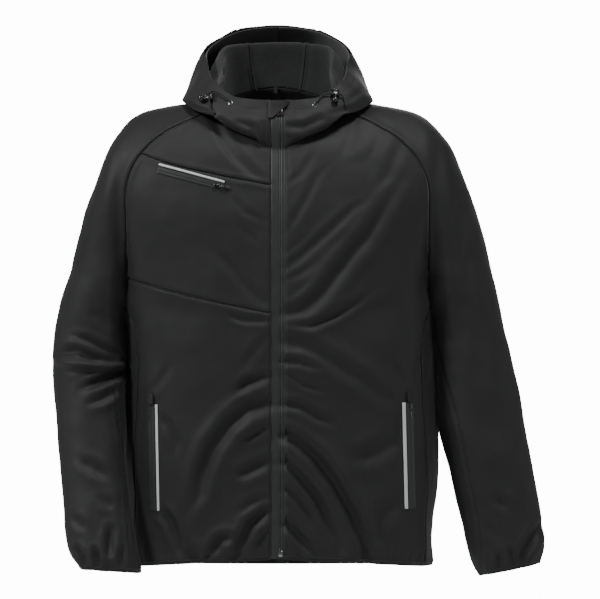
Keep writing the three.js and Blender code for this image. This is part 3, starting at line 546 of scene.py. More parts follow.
@dataclass(frozen=True)
class Ease:
    """Cloth let out on one side of some panels, between two heights in millimetres.

    panels are places in BODY_NODES. way is the x and y of the side's outward direction. The
    ease sets in over top_run below its top and fades over bottom_run above its bottom.
    """

    panels: tuple[int, ...]
    way: tuple[float, float]
    top: float
    bottom: float
    amount: float
    top_run: float = 30.0
    bottom_run: float = 75.0

    def push(self, co: np.ndarray, normal: np.ndarray, of_panel: np.ndarray) -> np.ndarray:
        """The shift of each point, in metres."""
        way = np.array((*self.way, 0.0)) / math.hypot(*self.way)
        z = co[:, 2] / MM
        height = np.clip(np.minimum((self.top - z) / self.top_run,
                                    (z - self.bottom) / self.bottom_run), 0.0, 1.0)
        facing = np.clip(normal @ way * 1.35 - 0.1, 0.0, 1.0)
        share = smooth(height) * facing
        share *= np.isin(of_panel, self.panels)
        return way[None, :] * (share * self.amount * MM)[:, None]


EASES = (
    Ease((0, 4), (1.0, 0.18), -268, -640, 5.2),
    Ease((5,), (-1.0, 0.22), -268, -560, 6.8),
    Ease((1, 4), (-1.0, 0.25), -262, -600, 8.0),
    Ease((6,), (1.0, 0.15), -262, -560, 5.6),
)
FRONT_CREASES = (
    Crease(((285, 187), (300, 176), (312, 158), (318, 140)), 6, 1.6),
    Crease(((286, 234), (296, 218), (308, 196), (318, 176), (334, 160)), 6.5, 2.8),
    Crease(((284, 271), (300, 258), (318, 242), (336, 226), (352, 210), (376, 196)), 7, 4.2),
    Crease(((285, 280), (300, 274), (318, 261)), 5, 2.0),
    Crease(((285, 300), (300, 290), (316, 277)), 5, 2.0),
    Crease(((284, 314), (304, 310), (322, 294), (346, 262), (366, 238), (384, 210),
            (400, 182), (406, 164)), 12, 6.4, 0.6),
    Crease(((286, 325), (312, 325), (334, 316), (360, 300), (382, 284)), 7, 3.2),
    Crease(((286, 254), (300, 243), (314, 229)), 5, 1.8),
    Crease(((354, 128), (346, 150), (336, 164)), 10, 2.4, 0.8),
    Crease(((384, 128), (374, 150), (362, 170)), 9, 1.8, 0.6),
    Crease(((400, 146), (386, 178), (370, 198)), 9, 2.2, 0.5),
    Crease(((286, 150), (287, 170), (286, 190)), 5, 1.6),
    Crease(((212, 112), (222, 138), (236, 158), (254, 175), (266, 183)), 8, 4.4, 0.9, 0.3),
    Crease(((234, 198), (244, 212), (264, 222)), 6, 2.4, 0.2, 0.5),
    Crease(((238, 226), (250, 236), (264, 248)), 5, 1.4, 0.2, 0.4),
    Crease(((212, 248), (230, 266), (246, 286), (264, 303)), 8, 3.4, 0.1, 0.7),
    Crease(((228, 314), (246, 320), (266, 320)), 6, 3.0, 0.1, 0.8),
    Crease(((244, 262), (259, 286)), 5, 1.4, 0.2, 0.4),
    Crease(((284, 340), (304, 345), (330, 360), (360, 378), (380, 396), (400, 405)), 12, 3.6,
           0.7, 0.2),
    Crease(((284, 360), (300, 361), (326, 371)), 7, 3.2, 0.8),
    Crease(((288, 372), (304, 384), (332, 393)), 5, 1.8),
    Crease(((284, 403), (300, 405), (318, 416), (342, 427)), 7, 3.4, 0.8),
    Crease(((284, 432), (298, 440), (316, 456), (334, 480), (350, 508), (362, 536),
            (369, 560)), 10, 7.0, 0.8, 0.7),
    Crease(((284, 458), (300, 474), (318, 496), (330, 524), (344, 548)), 7, 4.4, 0.8, 0.1),
    Crease(((285, 486), (298, 497), (310, 512), (317, 532)), 6, 2.8, 0.8),
    Crease(((284, 519), (300, 534), (317, 554)), 7.5, 4.8, 0.9, 0.3),
    Crease(((348, 459), (372, 453), (394, 440), (399, 418)), 14, 3.0, 0.0, 0.5),
    Crease(((400, 498), (384, 510), (375, 526), (376, 552)), 13, 2.6, 0.2, 0.4),
    Crease(((266, 376), (248, 382), (232, 396)), 7.5, 3.6, 0.8),
    Crease(((268, 403), (248, 408), (230, 424), (214, 446), (204, 470), (200, 492),
            (188, 512), (178, 528)), 12, 6.2, 0.8),
    Crease(((266, 426), (250, 436), (238, 441)), 6, 2.6, 0.7),
    Crease(((266, 461), (248, 470), (230, 476)), 9, 3.8, 0.8),
    Crease(((266, 496), (250, 502), (238, 514)), 7, 2.6, 0.7),
    Crease(((266, 509), (252, 522), (242, 540), (236, 558)), 9, 5.4, 0.8, 0.4),
    Crease(((266, 528), (256, 546)), 5, 2.8, 0.8, 0.3),
    Crease(((236, 534), (222, 537), (210, 553)), 8, 4.2, 0.3, 0.6),
    Crease(((184, 544), (196, 556), (212, 561)), 11, 3.4, 0.2, 0.4),
    Crease(((157, 412), (170, 424), (178, 440), (177, 460)), 7, 2.4, 0.5),
    Crease(((160, 506), (172, 520), (181, 548)), 7, 2.8, 0.7, 0.2),
    Crease(((266, 338), (254, 352), (238, 374)), 7, 1.8, 0.5),
    Crease(((150, 392), (162, 380), (172, 360)), 7, 1.6, 0.4),
    Crease(((402, 392), (396, 372), (384, 352)), 8, 1.6, 0.4),
    Crease(((416, 380), (421, 350), (424, 310)), 8, 2.0, 0.4),
)
SLEEVE_FRONT_CREASES = (
    Crease(((76, 336), (90, 340), (104, 347), (118, 354)), 6, 4.2, 0.3, 0.5),
    Crease(((60, 352), (78, 350), (98, 359)), 7.5, 6.0, 0.5, 0.3),
    Crease(((60, 363), (90, 365), (122, 366)), 6, -4.4, 0.3, 0.6),
    Crease(((127, 371), (110, 377), (92, 384), (82, 389)), 7, 5.4, 0.8, 0.2),
    Crease(((118, 390), (104, 398), (84, 405)), 7, 3.2, 0.4),
    Crease(((90, 312), (104, 318), (116, 330)), 9, 2.0, 0.2),
    Crease(((82, 458), (96, 466), (114, 478)), 9, 3.0, 0.2),
    Crease(((74, 514), (90, 528)), 8, 2.0, 0.3),
    Crease(((104, 496), (118, 506)), 8, 2.0, 0.3),
    Crease(((113, 526), (112, 550)), 7, 4.2, 0.5, 0.5),
    Crease(((80, 545), (90, 559)), 5.5, 3.4, 0.5, 0.6),
    Crease(((98, 546), (102, 562)), 5, 3.0, 0.5, 0.6),
    Crease(((124, 544), (124, 562)), 5, 2.6, 0.5, 0.6),
    Crease(((119, 160), (120, 220), (121, 300), (124, 345)), 10, 3.4, 0.3, 0.6),
    Crease(((436, 138), (436, 200), (438, 270), (446, 340)), 12, 3.6, 0.4, 0.4),
    Crease(((470, 216), (464, 290), (457, 360), (455, 398)), 12, 3.0, 0.3),
    Crease(((452, 250), (452, 300), (456, 340)), 8, 1.8, 0.3),
    Crease(((496, 496), (506, 508)), 9, 2.8, 0.3, 0.3),
    Crease(((486, 522), (498, 540)), 9, 2.0, 0.3, 0.3),
    Crease(((540, 524), (530, 540), (520, 556)), 8, 5.0, 0.5, 0.5),
    Crease(((510, 548), (512, 562)), 5, 2.8, 0.5, 0.6),
    Crease(((498, 552), (499, 566)), 5, 2.4, 0.5, 0.6),
    Crease(((512, 300), (506, 380), (508, 450)), 16, 1.8, 0.2),
)
HOOD_CREASES = (
    Crease(((221, 122), (236, 133), (256, 143)), 6, 5.0, 0.6, 0.6),
    Crease(((240, 124), (252, 129), (256, 140)), 6, 4.2, 0.5, 0.5),
    Crease(((290, 128), (304, 129), (320, 121)), 7, 5.0, 0.6, 0.6),
    Crease(((180, 102), (196, 110), (216, 116)), 6, 2.2, 0.7, 0.2),
    Crease(((374, 101), (352, 110), (330, 115)), 6, 2.4, 0.7, 0.2),
    Crease(((190, 92), (200, 100), (214, 106)), 6, 1.6, 0.3),
    Crease(((362, 90), (354, 98), (344, 106)), 6, 1.6, 0.3),
    Crease(((262, 24), (256, 33), (250, 40)), 6, 1.8, 0.5, 0.2),
    Crease(((234, 28), (232, 36), (226, 42)), 6, 1.8, 0.5, 0.2),
    Crease(((300, 24), (302, 34), (300, 42)), 6, 1.6, 0.5, 0.2),
    Crease(((322, 30), (318, 38), (316, 44)), 6, 1.6, 0.5, 0.2),
    Crease(((206, 56), (204, 74), (200, 90)), 7, 1.8, 0.4),
    Crease(((350, 56), (354, 74), (352, 88)), 7, 1.8, 0.4),
)
# Seen through the jacket: x runs as in the front view
BACK_CREASES = (
    Crease(((180, 190), (220, 250), (280, 320)), 16, 4.4, 0.3),
    Crease(((388, 196), (344, 262), (300, 330)), 16, 4.6, 0.3),
    Crease(((226, 160), (280, 176), (334, 164)), 12, 2.2, 0.3),
    Crease(((180, 380), (240, 420), (330, 436)), 12, 4.8, 0.3),
    Crease(((372, 350), (310, 388), (236, 396)), 12, 3.6, 0.3),
    Crease(((240, 452), (214, 500), (198, 560)), 10, 5.0, 0.2, 0.5),
    Crease(((338, 470), (320, 520), (312, 562)), 10, 4.8, 0.2, 0.5),
    Crease(((282, 486), (278, 530), (280, 562)), 8, 3.6, 0.2, 0.5),
    Crease(((160, 430), (168, 490), (176, 560)), 10, 3.4, 0.3, 0.4),
    Crease(((398, 420), (390, 490), (382, 560)), 10, 3.6, 0.3, 0.4),
    Crease(((140, 262), (166, 300), (190, 336)), 11, 3.2, 0.4),
    Crease(((416, 262), (388, 300), (366, 340)), 11, 3.2, 0.4),
    Crease(((200, 532), (214, 560)), 6, 2.6, 0.3, 0.6),
    Crease(((350, 528), (344, 560)), 6, 2.6, 0.3, 0.6),
)
SLEEVE_BACK_CREASES = (
    Crease(((446, 352), (470, 362), (504, 368)), 8, 4.6, 0.4, 0.3),
    Crease(((448, 380), (476, 388), (508, 386)), 7, 4.2, 0.4, 0.3),
    Crease(((452, 402), (480, 414), (508, 408)), 7, 3.0, 0.4, 0.3),
    Crease(((462, 462), (492, 476), (520, 476)), 9, 3.0, 0.3, 0.3),
    Crease(((444, 192), (450, 250), (448, 300)), 11, 3.0, 0.4),
    Crease(((112, 352), (92, 358), (62, 352)), 8, 4.6, 0.4, 0.3),
    Crease(((114, 376), (94, 382), (60, 372)), 7, 4.2, 0.4, 0.3),
    Crease(((118, 404), (96, 410), (64, 400)), 7, 3.2, 0.4, 0.3),
    Crease(((120, 470), (98, 484), (74, 486)), 9, 3.0, 0.3, 0.3),
    Crease(((112, 192), (110, 250), (112, 300)), 11, 3.0, 0.4),
    Crease(((90, 534), (92, 558)), 6, 3.2, 0.4, 0.5),
    Crease(((112, 530), (110, 560)), 6, 3.0, 0.4, 0.5),
    Crease(((500, 536), (504, 560)), 6, 3.2, 0.4, 0.5),
    Crease(((524, 530), (522, 556)), 6, 3.0, 0.4, 0.5),
)
# Seams that are sewn within one panel, drawn on the front view
DRAWN_SEAMS = (
    ((116.5, 384), (118.5, 410), (122, 440), (126, 480), (129.5, 520), (131, 543)),
    ((435, 334), (445, 380), (456, 419), (466, 469), (476, 515), (481, 557)),
)
# Lines along the pockets, the adjusters and the zip, beside which the cloth is calm
CALM_PLACES = (
    ((160, 166), (228, 186)), ((160, 178), (222, 194)),
    ((403, 386), (406, 508)), ((412, 388), (414, 506)),
    ((157, 404), (159, 510)), ((150, 396), (152, 506)),
    ((198, 100), (232, 102)), ((315, 105), (340, 96)), ((275, 98), (275, 560)),
)


CALM_WIDTH = 10.5
CALM_DEPTH = -1.15
CALMED = 0.86
# What lies behind this y, in metres, is the back
BACK_FROM = 0.06


def calm_share(co: np.ndarray) -> np.ndarray:
    """How much of the folds' depth is left near the pockets, the adjusters and the zip."""
    x, z = co[:, 0] / MM, co[:, 2] / MM
    share = np.ones(len(co))
    for places in CALM_PLACES:
        near = Crease(places, CALM_WIDTH, CALM_DEPTH, 1.0, 1.0, 0.0).height(x, z)
        share = np.minimum(share, 1.0 - CALMED * np.clip(near, 0.0, 1.0))
    return np.where(co[:, 1] < BACK_FROM, share, 1.0)


def crease_field(co: np.ndarray, normal: np.ndarray, front: Sequence[Crease],
                 back: Sequence[Crease]) -> np.ndarray:
    """How far the creases push each point out, in metres.

    Args:
        co: points, in metres.
        normal: their outward normals.
        front: creases on what faces forward.
        back: creases on what faces backward.
    """
    x, z = co[:, 0] / MM, co[:, 2] / MM
    total = np.zeros(len(co))
    for facing, creases in ((-normal[:, 1], front), (normal[:, 1], back)):
        share = np.clip(facing * 1.6 + 0.3, 0.0, 1.0)
        for crease in creases:
            total += crease.height(x, z) * share
    return total * MM


@dataclass(frozen=True)
class Gathers:
    """The puckers over the elastic hem and cuffs. Lengths are in metres.

    fine and wide are the heights of the two sizes of pucker, and fine_step and wide_step how
    far apart they are along the edge. reach is how far up they run, uneven by spread.
    """

    fine: float = 2.6 * MM
    wide: float = 4.6 * MM
    fine_step: float = 0.0085
    wide_step: float = 0.021
    reach: float = 0.022
    spread: float = 0.016
    furthest: float = 0.075
    apart: float = 40.0

    def field(self, co: np.ndarray, hems: Sequence[Sequence[Vector]]) -> np.ndarray:
        """How far the puckers push each point out, in metres."""
        marks: list[Vector] = []
        runs: list[float] = []
        for number, hem in enumerate(hems):
            run = self.apart * number
            for a, b in zip(hem, hem[1:]):
                marks.append(a)
                runs.append(run)
                run += (b - a).length
        tree = KDTree(len(marks))
        for i, mark in enumerate(marks):
            tree.insert(mark, i)
        tree.balance()
        out = np.zeros(len(co))
        for i, point in enumerate(co):
            _, nearest, away = tree.find(Vector(point))
            if away <= self.furthest:
                out[i] = self.height(runs[nearest], away)
        return out

    def height(self, run: float, away: float) -> float:
        """The pucker's height at a run along the edge and a distance from it."""
        reach = self.reach + self.spread * noise.noise(Vector((run / 0.045, 7.1, 0.0)))
        fine = self.fine * noise.noise(Vector((run / self.fine_step, away / 0.05, 1.7)))
        wide = self.wide * noise.noise(Vector((run / self.wide_step, away / 0.09, 5.3)))
        held = 0.55 + min(away / 0.012, 0.45)
        return (fine + wide) * math.exp(-((away / reach) ** 2)) * held


def ripple_field(co: np.ndarray, scale: float, depth: float) -> np.ndarray:
    """Smooth, seeded unevenness over the cloth, in metres."""
    return np.array([noise.noise(Vector(p) / scale) for p in co]) * depth


# The cloth


@dataclass
class ClothGroup:
    """Panels that are sewn to one another and refined together."""

    name: str
    nodes: Sequence[str]
    centre: Callable[[str], Vector]
    levels: int
    front: Sequence[Crease]
    back: Sequence[Crease]
    eases: Sequence[Ease] = ()
    drawn_seams: Sequence[Sequence[tuple[float, float]]] = ()
    inset: float = 1.3 * MM

    def outer_sheet(self, node: str, index: int, into: bmesh.types.BMesh) -> None:
        """Add a panel's outer sheet to a shared bmesh.

        The wall's edge faces, which have an edge as short as the wall is thick, are taken
        away. What is left is the outer and the inner sheet, and the outer one faces away
        from the group's centre.

        Args:
            node: the CAD node.
            index: the material index that marks its faces.
            into: the bmesh that it is added to.
        """
        bm = bmesh.new()
        bm.from_mesh(bpy.data.objects[node].data)
        bmesh.ops.remove_doubles(bm, verts=bm.verts, dist=0.02 * MM)
        wall = 2.3 * MM
        edging = [f for f in bm.faces if min(e.calc_length() for e in f.edges) < wall]
        bmesh.ops.delete(bm, geom=edging, context="FACES")
        middle = self.centre(node)
        best: tuple[float, set] = (-1.0, set())
        seen: set[int] = set()
        for face in bm.faces:
            if face.index in seen:
                continue
            sheet, stack = {face}, [face]
            while stack:
                for edge in stack.pop().edges:
                    for near in edge.link_faces:
                        if near not in sheet:
                            sheet.add(near)
                            stack.append(near)
            seen |= {f.index for f in sheet}
            out = sum(f.calc_area() * f.normal.dot(f.calc_center_median() - middle)
                      for f in sheet)
            if out > best[0]:
                best = (out, sheet)
        bmesh.ops.delete(bm, geom=[f for f in bm.faces if f not in best[1]], context="FACES")
        for face in bm.faces:
            face.material_index = index
        mesh = bpy.data.meshes.new(node + "_sheet")
        bm.to_mesh(mesh)
        bm.free()
        into.from_mesh(mesh)
        bpy.data.meshes.remove(mesh)

    def refined(self) -> bpy.types.Object:
        """Weld the outer sheets, round them off and crease them.

        Returns:
            One object whose material indices are the panels' places in nodes.
        """
        bm = bmesh.new()
        for index, node in enumerate(self.nodes):
            self.outer_sheet(node, index, bm)
        bmesh.ops.remove_doubles(bm, verts=bm.verts, dist=0.75 * MM)
        bmesh.ops.join_triangles(bm, faces=bm.faces, cmp_materials=True,
                                 angle_face_threshold=math.pi, angle_shape_threshold=math.pi)
        coarse = to_object(bm, self.name + "_coarse")
        for _ in self.nodes:
            coarse.data.materials.append(None)
        target = read_points(coarse.data)
        points = target.copy()
        for _ in range(2):
            fine = self.subdivided(coarse)
            points += target - read_points(fine)[: len(target)]
            write_points(coarse.data, points)
            bpy.data.meshes.remove(fine)
        mesh = self.subdivided(coarse)
        bpy.data.objects.remove(coarse)
        surface = bpy.data.objects.new(self.name, mesh)
        bpy.context.scene.collection.objects.link(surface)
        self.crease(mesh)
        return surface

    def subdivided(self, coarse: bpy.types.Object) -> bpy.types.Mesh:
        """A Catmull-Clark refinement of the coarse mesh."""
        add_modifier(coarse, "SUBSURF", levels=self.levels, render_levels=self.levels,
                     boundary_smooth="PRESERVE_CORNERS")
        graph = bpy.context.evaluated_depsgraph_get()
        graph.update()
        mesh = bpy.data.meshes.new_from_object(coarse.evaluated_get(graph))
        coarse.modifiers.clear()
        return mesh

    def crease(self, mesh: bpy.types.Mesh) -> None:
        """Push the folds into the refined mesh, and press its seams in."""
        co = read_points(mesh)
        if self.eases:
            normal = read_normals(mesh)
            of_panel = panel_of_points(mesh)
            co += sum(ease.push(co, normal, of_panel) for ease in self.eases)
            write_points(mesh, co)
        normal = read_normals(mesh)
        near = distances(co, seam_points(mesh) + self.drawn_marks(mesh))
        mesh.attributes.new("seam", "FLOAT", "POINT").data.foreach_set(
            "value", near.astype(np.float32))
        out = crease_field(co, normal, self.front, self.back)
        out += ripple_field(co, 0.06, 1.7 * MM) + ripple_field(co, 0.024, 0.7 * MM)
        out *= calm_share(co)
        out += 0.9 * MM * np.exp(-((near - 5 * MM) / (3.5 * MM)) ** 2)
        out -= self.inset * np.exp(-((near / (2.6 * MM)) ** 2))
        hems = [line for line in chains(mesh, low_rim) if len(line) > 20]
        if hems:
            out += Gathers().field(co, hems) * calm_share(co)
        write_points(mesh, co + normal * out[:, None])

    def drawn_marks(self, mesh: bpy.types.Mesh) -> list[Vector]:
        """Points along the seams that are sewn within a panel."""
        tree = BVHTree.FromPolygons([v.co.copy() for v in mesh.vertices],
                                    [list(f.vertices) for f in mesh.polygons])
        return [mark for line in self.drawn_seams for mark in drawn_line(tree, line)]


def read_points(mesh: bpy.types.Mesh) -> np.ndarray:
    """The mesh's points, as rows."""
    co = np.zeros(len(mesh.vertices) * 3, np.float32)
    mesh.vertices.foreach_get("co", co)
    return co.reshape(-1, 3).astype(float)


def read_normals(mesh: bpy.types.Mesh) -> np.ndarray:
    """The mesh's point normals, as rows."""
    out = np.zeros(len(mesh.vertices) * 3, np.float32)
    mesh.vertex_normals.foreach_get("vector", out)
    return out.reshape(-1, 3).astype(float)


def write_points(mesh: bpy.types.Mesh, co: np.ndarray) -> None:
    """Move the mesh's points."""
    mesh.vertices.foreach_set("co", co.astype(np.float32).ravel())
    mesh.update()


def panel_of_points(mesh: bpy.types.Mesh) -> np.ndarray:
    """The panel that each point belongs to."""
    out = np.zeros(len(mesh.vertices), int)
    for face in mesh.polygons:
        for i in face.vertices:
            out[i] = face.material_index
    return out


def drawn_line(tree: BVHTree, line: Sequence[tuple[float, float]]) -> list[Vector]:
    """Points 3 mm apart on the cloth, under a line drawn on the front view."""
    found = []
    ends = [seen(*p) for p in line]
    for a, b in zip(ends, ends[1:]):
        steps = max(2, int(math.dist(a, b) / 3.0))
        for n in range(steps):
            x = a[0] + (b[0] - a[0]) * n / steps
            z = a[1] + (b[1] - a[1]) * n / steps
            hit = tree.ray_cast(Vector((x * MM, -1.0, z * MM)), Vector((0.0, 1.0, 0.0)))[0]
            if hit is not None:
                found.append(hit)
    return found


def low_rim(edge: bmesh.types.BMEdge) -> bool:
    """Whether an edge is part of the hem or a cuff."""
    run = edge.verts[1].co - edge.verts[0].co
    return (len(edge.link_faces) == 1 and edge.verts[0].co.z < -0.62
            and abs(run.z) < 0.72 * run.length)


def seam_points(mesh: bpy.types.Mesh) -> list[Vector]:
    """Points on the edges between two panels, close together."""
    bm = bmesh.new()
    bm.from_mesh(mesh)
    found = []
    for edge in bm.edges:
        faces = edge.link_faces
        if len(faces) == 2 and faces[0].material_index != faces[1].material_index:
            a, b = edge.verts[0].co, edge.verts[1].co
            found += [a.copy(), a.lerp(b, 0.5)]
    bm.free()
    return found


def distances(co: np.ndarray, marks: Sequence[Vector]) -> np.ndarray:
    """How far each point is from the nearest mark."""
    if not marks:
        return np.full(len(co), 1.0)
    tree = KDTree(len(marks))
    for i, mark in enumerate(marks):
        tree.insert(mark, i)
    tree.balance()
    return np.array([tree.find(Vector(p))[2] for p in co])


# How each panel is cut flat: width and length, in metres
CUTS = {
    "front_left": (0.300, 0.720), "front_right_lower": (0.290, 0.450),
    "front_right_chest": (0.280, 0.270), "front_right_yoke": (0.260, 0.140),
    "back": (0.680, 0.790), "sleeve_left": (0.470, 0.840), "sleeve_right": (0.470, 0.840),
    "hood_left": (0.330, 0.470), "hood_centre": (0.150, 0.560), "hood_right": (0.330, 0.470),
}


def part_panels(surface: bpy.types.Object, group: ClothGroup,
                wardrobe: Wardrobe) -> dict[str, bpy.types.Object]:
    """Part a refined group into its panels, each a thin lined wall.

    Args:
        surface: the group's refined object.
        group: the group it came from.
        wardrobe: the materials.

    Returns:
        The panels by node name.
    """
    panels = {}
    for index, node in enumerate(group.nodes):
        bm = bmesh.new()
        bm.from_mesh(surface.data)
        others = [f for f in bm.faces if f.material_index != index]
        bmesh.ops.delete(bm, geom=others, context="FACES")
        for face in bm.faces:
            face.material_index = 0
        area = sum(f.calc_area() for f in bm.faces)
        panel = to_object(bm, node + "_cloth", wardrobe.shell, wardrobe.fleece)
        add_modifier(panel, "SOLIDIFY", thickness=CLOTH, offset=-1.0, material_offset=1,
                     material_offset_rim=0, use_even_offset=False, use_rim=True)
        baked(panel)
        dress(panel, Slot.SHELL, node)
        width, length = CUTS[node]
        log.info("%s area %.4f of %.4f", node, area, width * length)
        panels[node] = panel
    return panels


# Laying trim on the cloth


@dataclass(frozen=True)
class Seat:
    """A place on the cloth: its point, the way out, the way across and the way along."""

    point: Vector
    out: Vector
    across: Vector
    along: Vector

    def at(self, across: float = 0.0, along: float = 0.0, out: float = 0.0) -> Vector:
        """A point beside the place, in metres along its three ways."""
        return self.point + self.across * across + self.along * along + self.out * out

    def matrix(self, across: float = 0.0, along: float = 0.0, out: float = 0.0) -> Matrix:
        """The turn and place of a part that is seated there."""
        turn = Matrix((self.across, self.along, self.out)).transposed().to_4x4()
        turn.translation = self.at(across, along, out)
        return turn

    def moved(self, across: float, along: float) -> "Seat":
        """The same place, moved in its own plane."""
        return Seat(self.at(across, along), self.out, self.across, self.along)


class Front:
    """The front of the refined cloth, for laying trim on. Places are in millimetres."""

    REACH = 4.0
    FAR = 1.0

    def __init__(self, surfaces: Sequence[tuple[bpy.types.Object, Sequence[int]]]) -> None:
        """Keep the chosen panels of some refined cloth.

        Args:
            surfaces: refined objects, each with the material indices of its panels to keep.
        """
        points: list[Vector] = []
        faces: list[list[int]] = []
        for surface, panels in surfaces:
            first = len(points)
            points += [v.co.copy() for v in surface.data.vertices]
            faces += [[first + i for i in f.vertices] for f in surface.data.polygons
                      if f.material_index in panels]
        self.tree = BVHTree.FromPolygons(points, faces)

    def hit(self, x: float, z: float) -> Vector:
        """The frontmost point of the cloth at x and z."""
        start = Vector((x * MM, -self.FAR, z * MM))
        point = self.tree.ray_cast(start, Vector((0.0, 1.0, 0.0)))[0]
        if point is None:
            point = self.tree.find_nearest(Vector((x * MM, -0.12, z * MM)))[0]
        return point

    def seat(self, x: float, z: float, turn: float = 0.0) -> Seat:
        """The place at x and z, turned in the cloth by an angle in degrees."""
        reach = self.REACH
        point = self.hit(x, z)
        right = (self.hit(x + reach, z) - self.hit(x - reach, z)).normalized()
        up = (self.hit(x, z + reach) - self.hit(x, z - reach)).normalized()
        out = up.cross(right).normalized()
        if out.y > 0:
            out.negate()
        along = (up - out * up.dot(out)).normalized()
        along = Matrix.Rotation(math.radians(turn), 3, out) @ along
        return Seat(point, out, along.cross(out).normalized(), along)

    def line(self, start: Sequence[float], end: Sequence[float], steps: int,
             shift: float = 0.0) -> list[Seat]:
        """Places along a straight line, moved aside by shift."""
        length = math.dist(start, end)
        aside = ((end[1] - start[1]) / length, -(end[0] - start[0]) / length)
        return [self.seat(start[0] + (end[0] - start[0]) * n / steps + aside[0] * shift,
                          start[1] + (end[1] - start[1]) * n / steps + aside[1] * shift)
                for n in range(steps + 1)]


def laid(name: str, across: int, along: int, place: Callable[[float, float], Vector],
         *materials: bpy.types.Material, out: Optional[Vector] = None,
         closed: bool = False) -> bpy.types.Object:
    """Lay a grid by a rule.

    Args:
        name: the object's name.
        across: its number of faces across.
        along: its number of faces along.
        place: gives each point from its share across and its share along.
        materials: its materials.
        out: the way that its faces point, or None to leave them.
        closed: merges the edges that meet.

    Returns:
        The object, with its length so far in the attribute along.
    """
    bm = bmesh.new()
    bmesh.ops.create_grid(bm, x_segments=across, y_segments=along, size=0.5)
    layer = bm.verts.layers.float.new("along")
    length = sum((place(0.5, (i + 1) / along) - place(0.5, i / along)).length
                 for i in range(along))
    for vert in bm.verts:
        u, v = vert.co.x + 0.5, vert.co.y + 0.5
        vert[layer] = v * length
        vert.co = place(u, v)
    if closed:
        bmesh.ops.remove_doubles(bm, verts=bm.verts, dist=0.02 * MM)
        bmesh.ops.recalc_face_normals(bm, faces=bm.faces)
    bm.normal_update()
    if out is not None and sum(f.normal.dot(out) for f in bm.faces) < 0:
        bmesh.ops.reverse_faces(bm, faces=bm.faces)
    return to_object(bm, name, *materials)


def thickened(piece: bpy.types.Object, wall: float, bevel: float) -> bpy.types.Object:
    """Give a laid sheet a wall behind it, with rounded edges."""
    add_modifier(piece, "SOLIDIFY", thickness=wall, offset=-1.0)
    add_modifier(piece, "BEVEL", width=bevel, segments=2, limit_method="ANGLE",
                 angle_limit=math.radians(50))
    return baked(piece)


def strip(front: Front, name: str, start: Sequence[float], end: Sequence[float], width: float,
          wall: float, lift: float, material: bpy.types.Material, shift: float = 0.0,
          crown: float = 0.0) -> bpy.types.Object:
    """A flat strip along a line on the front. Sizes are in millimetres.

    Args:
        front: the cloth.
        name: the strip's name.
        start: x and z of one end.
        end: x and z of the other.
        width: its width.
        wall: its thickness.
        lift: how far its back stands off the cloth.
        material: its material.
        shift: how far it is moved aside.
        crown: how much its middle stands higher than its edges.
    """
    steps, columns = 54, 6
    rows = [front.line(start, end, steps, shift + (n / columns - 0.5) * width)
            for n in range(columns + 1)]

    def place(u: float, v: float) -> Vector:
        """A point of the strip."""
        seat = rows[round(u * columns)][round(v * steps)]
        raised = crown * (1.0 - (2.0 * u - 1.0) ** 2)
        return seat.at(out=(lift + wall + raised) * MM)

    piece = laid(name, columns, steps, place, material, out=Vector((0.0, -1.0, 0.0)))
    return thickened(piece, wall * MM, 0.25 * MM)


class Beads:
    """Many small rounded copies, such as stitches and zip teeth, in one piece."""

    BATCH = 80

    def __init__(self) -> None:
        """Start with none."""
        self.whole = bmesh.new()
        self.batch = bmesh.new()
        self.count = 0

    def add(self, matrix: Matrix) -> None:
        """Add one bead, whose unit sphere is shaped and placed by the matrix."""
        bmesh.ops.create_icosphere(self.batch, subdivisions=1, radius=1.0, matrix=matrix)
        self.count += 1
        if self.count % self.BATCH == 0:
            self.flush()

    def flush(self) -> None:
        """Move the batch into the whole."""
        mesh = bpy.data.meshes.new("batch")
        self.batch.to_mesh(mesh)
        self.whole.from_mesh(mesh)
        bpy.data.meshes.remove(mesh)
        self.batch.clear()

    def piece(self, name: str, material: bpy.types.Material) -> bpy.types.Object:
        """The finished piece."""
        self.flush()
        self.batch.free()
        return to_object(self.whole, name, material)


@dataclass
class Sewing:
    """Topstitching: short raised stitches along lines on the cloth. Sizes in millimetres."""

    pitch: float = 3.6
    length: float = 2.7
    thick: float = 0.36
    beads: Beads = field(default_factory=Beads)

    def run(self, points: Sequence[Vector], ways_out: Sequence[Vector]) -> None:
        """Sew along a line of points with their ways out."""
        behind = 0.0
        for i in range(len(points) - 1):
            a, b = points[i], points[i + 1]
            span = (b - a).length
            if span < 1e-6:
                continue
            at = self.pitch * MM - behind
            while at <= span:
                self.stitch(a.lerp(b, at / span), (b - a) / span, ways_out[i])
                at += self.pitch * MM
            behind = span - (at - self.pitch * MM)

    def stitch(self, point: Vector, along: Vector, out: Vector) -> None:
        """Sew one stitch."""
        across = along.cross(out).normalized()
        out = across.cross(along).normalized()
        turn = Matrix((along, across, out)).transposed().to_4x4()
        turn.translation = point + out * self.thick * 0.35 * MM
        size = (self.length / 2 * MM, self.thick * MM, self.thick * MM, 1.0)
        self.beads.add(turn @ Matrix.Diagonal(size))

    def seats(self, seats: Sequence[Seat]) -> None:
        """Sew along places on the front."""
        self.run([s.point for s in seats], [s.out for s in seats])

    def beside(self, tree: BVHTree, chain: Sequence[Vector], aside: float) -> None:
        """Sew beside a chain of points on a surface, aside by millimetres."""
        points, outs = [], []
        for i, point in enumerate(chain):
            along = chain[min(i + 1, len(chain) - 1)] - chain[max(i - 1, 0)]
            out = tree.find_nearest(point)[1]
            over = along.cross(out).normalized() * aside * MM
            found, normal = tree.find_nearest(point + over)[:2]
            points.append(found)
            outs.append(normal)
        self.run(points, outs)


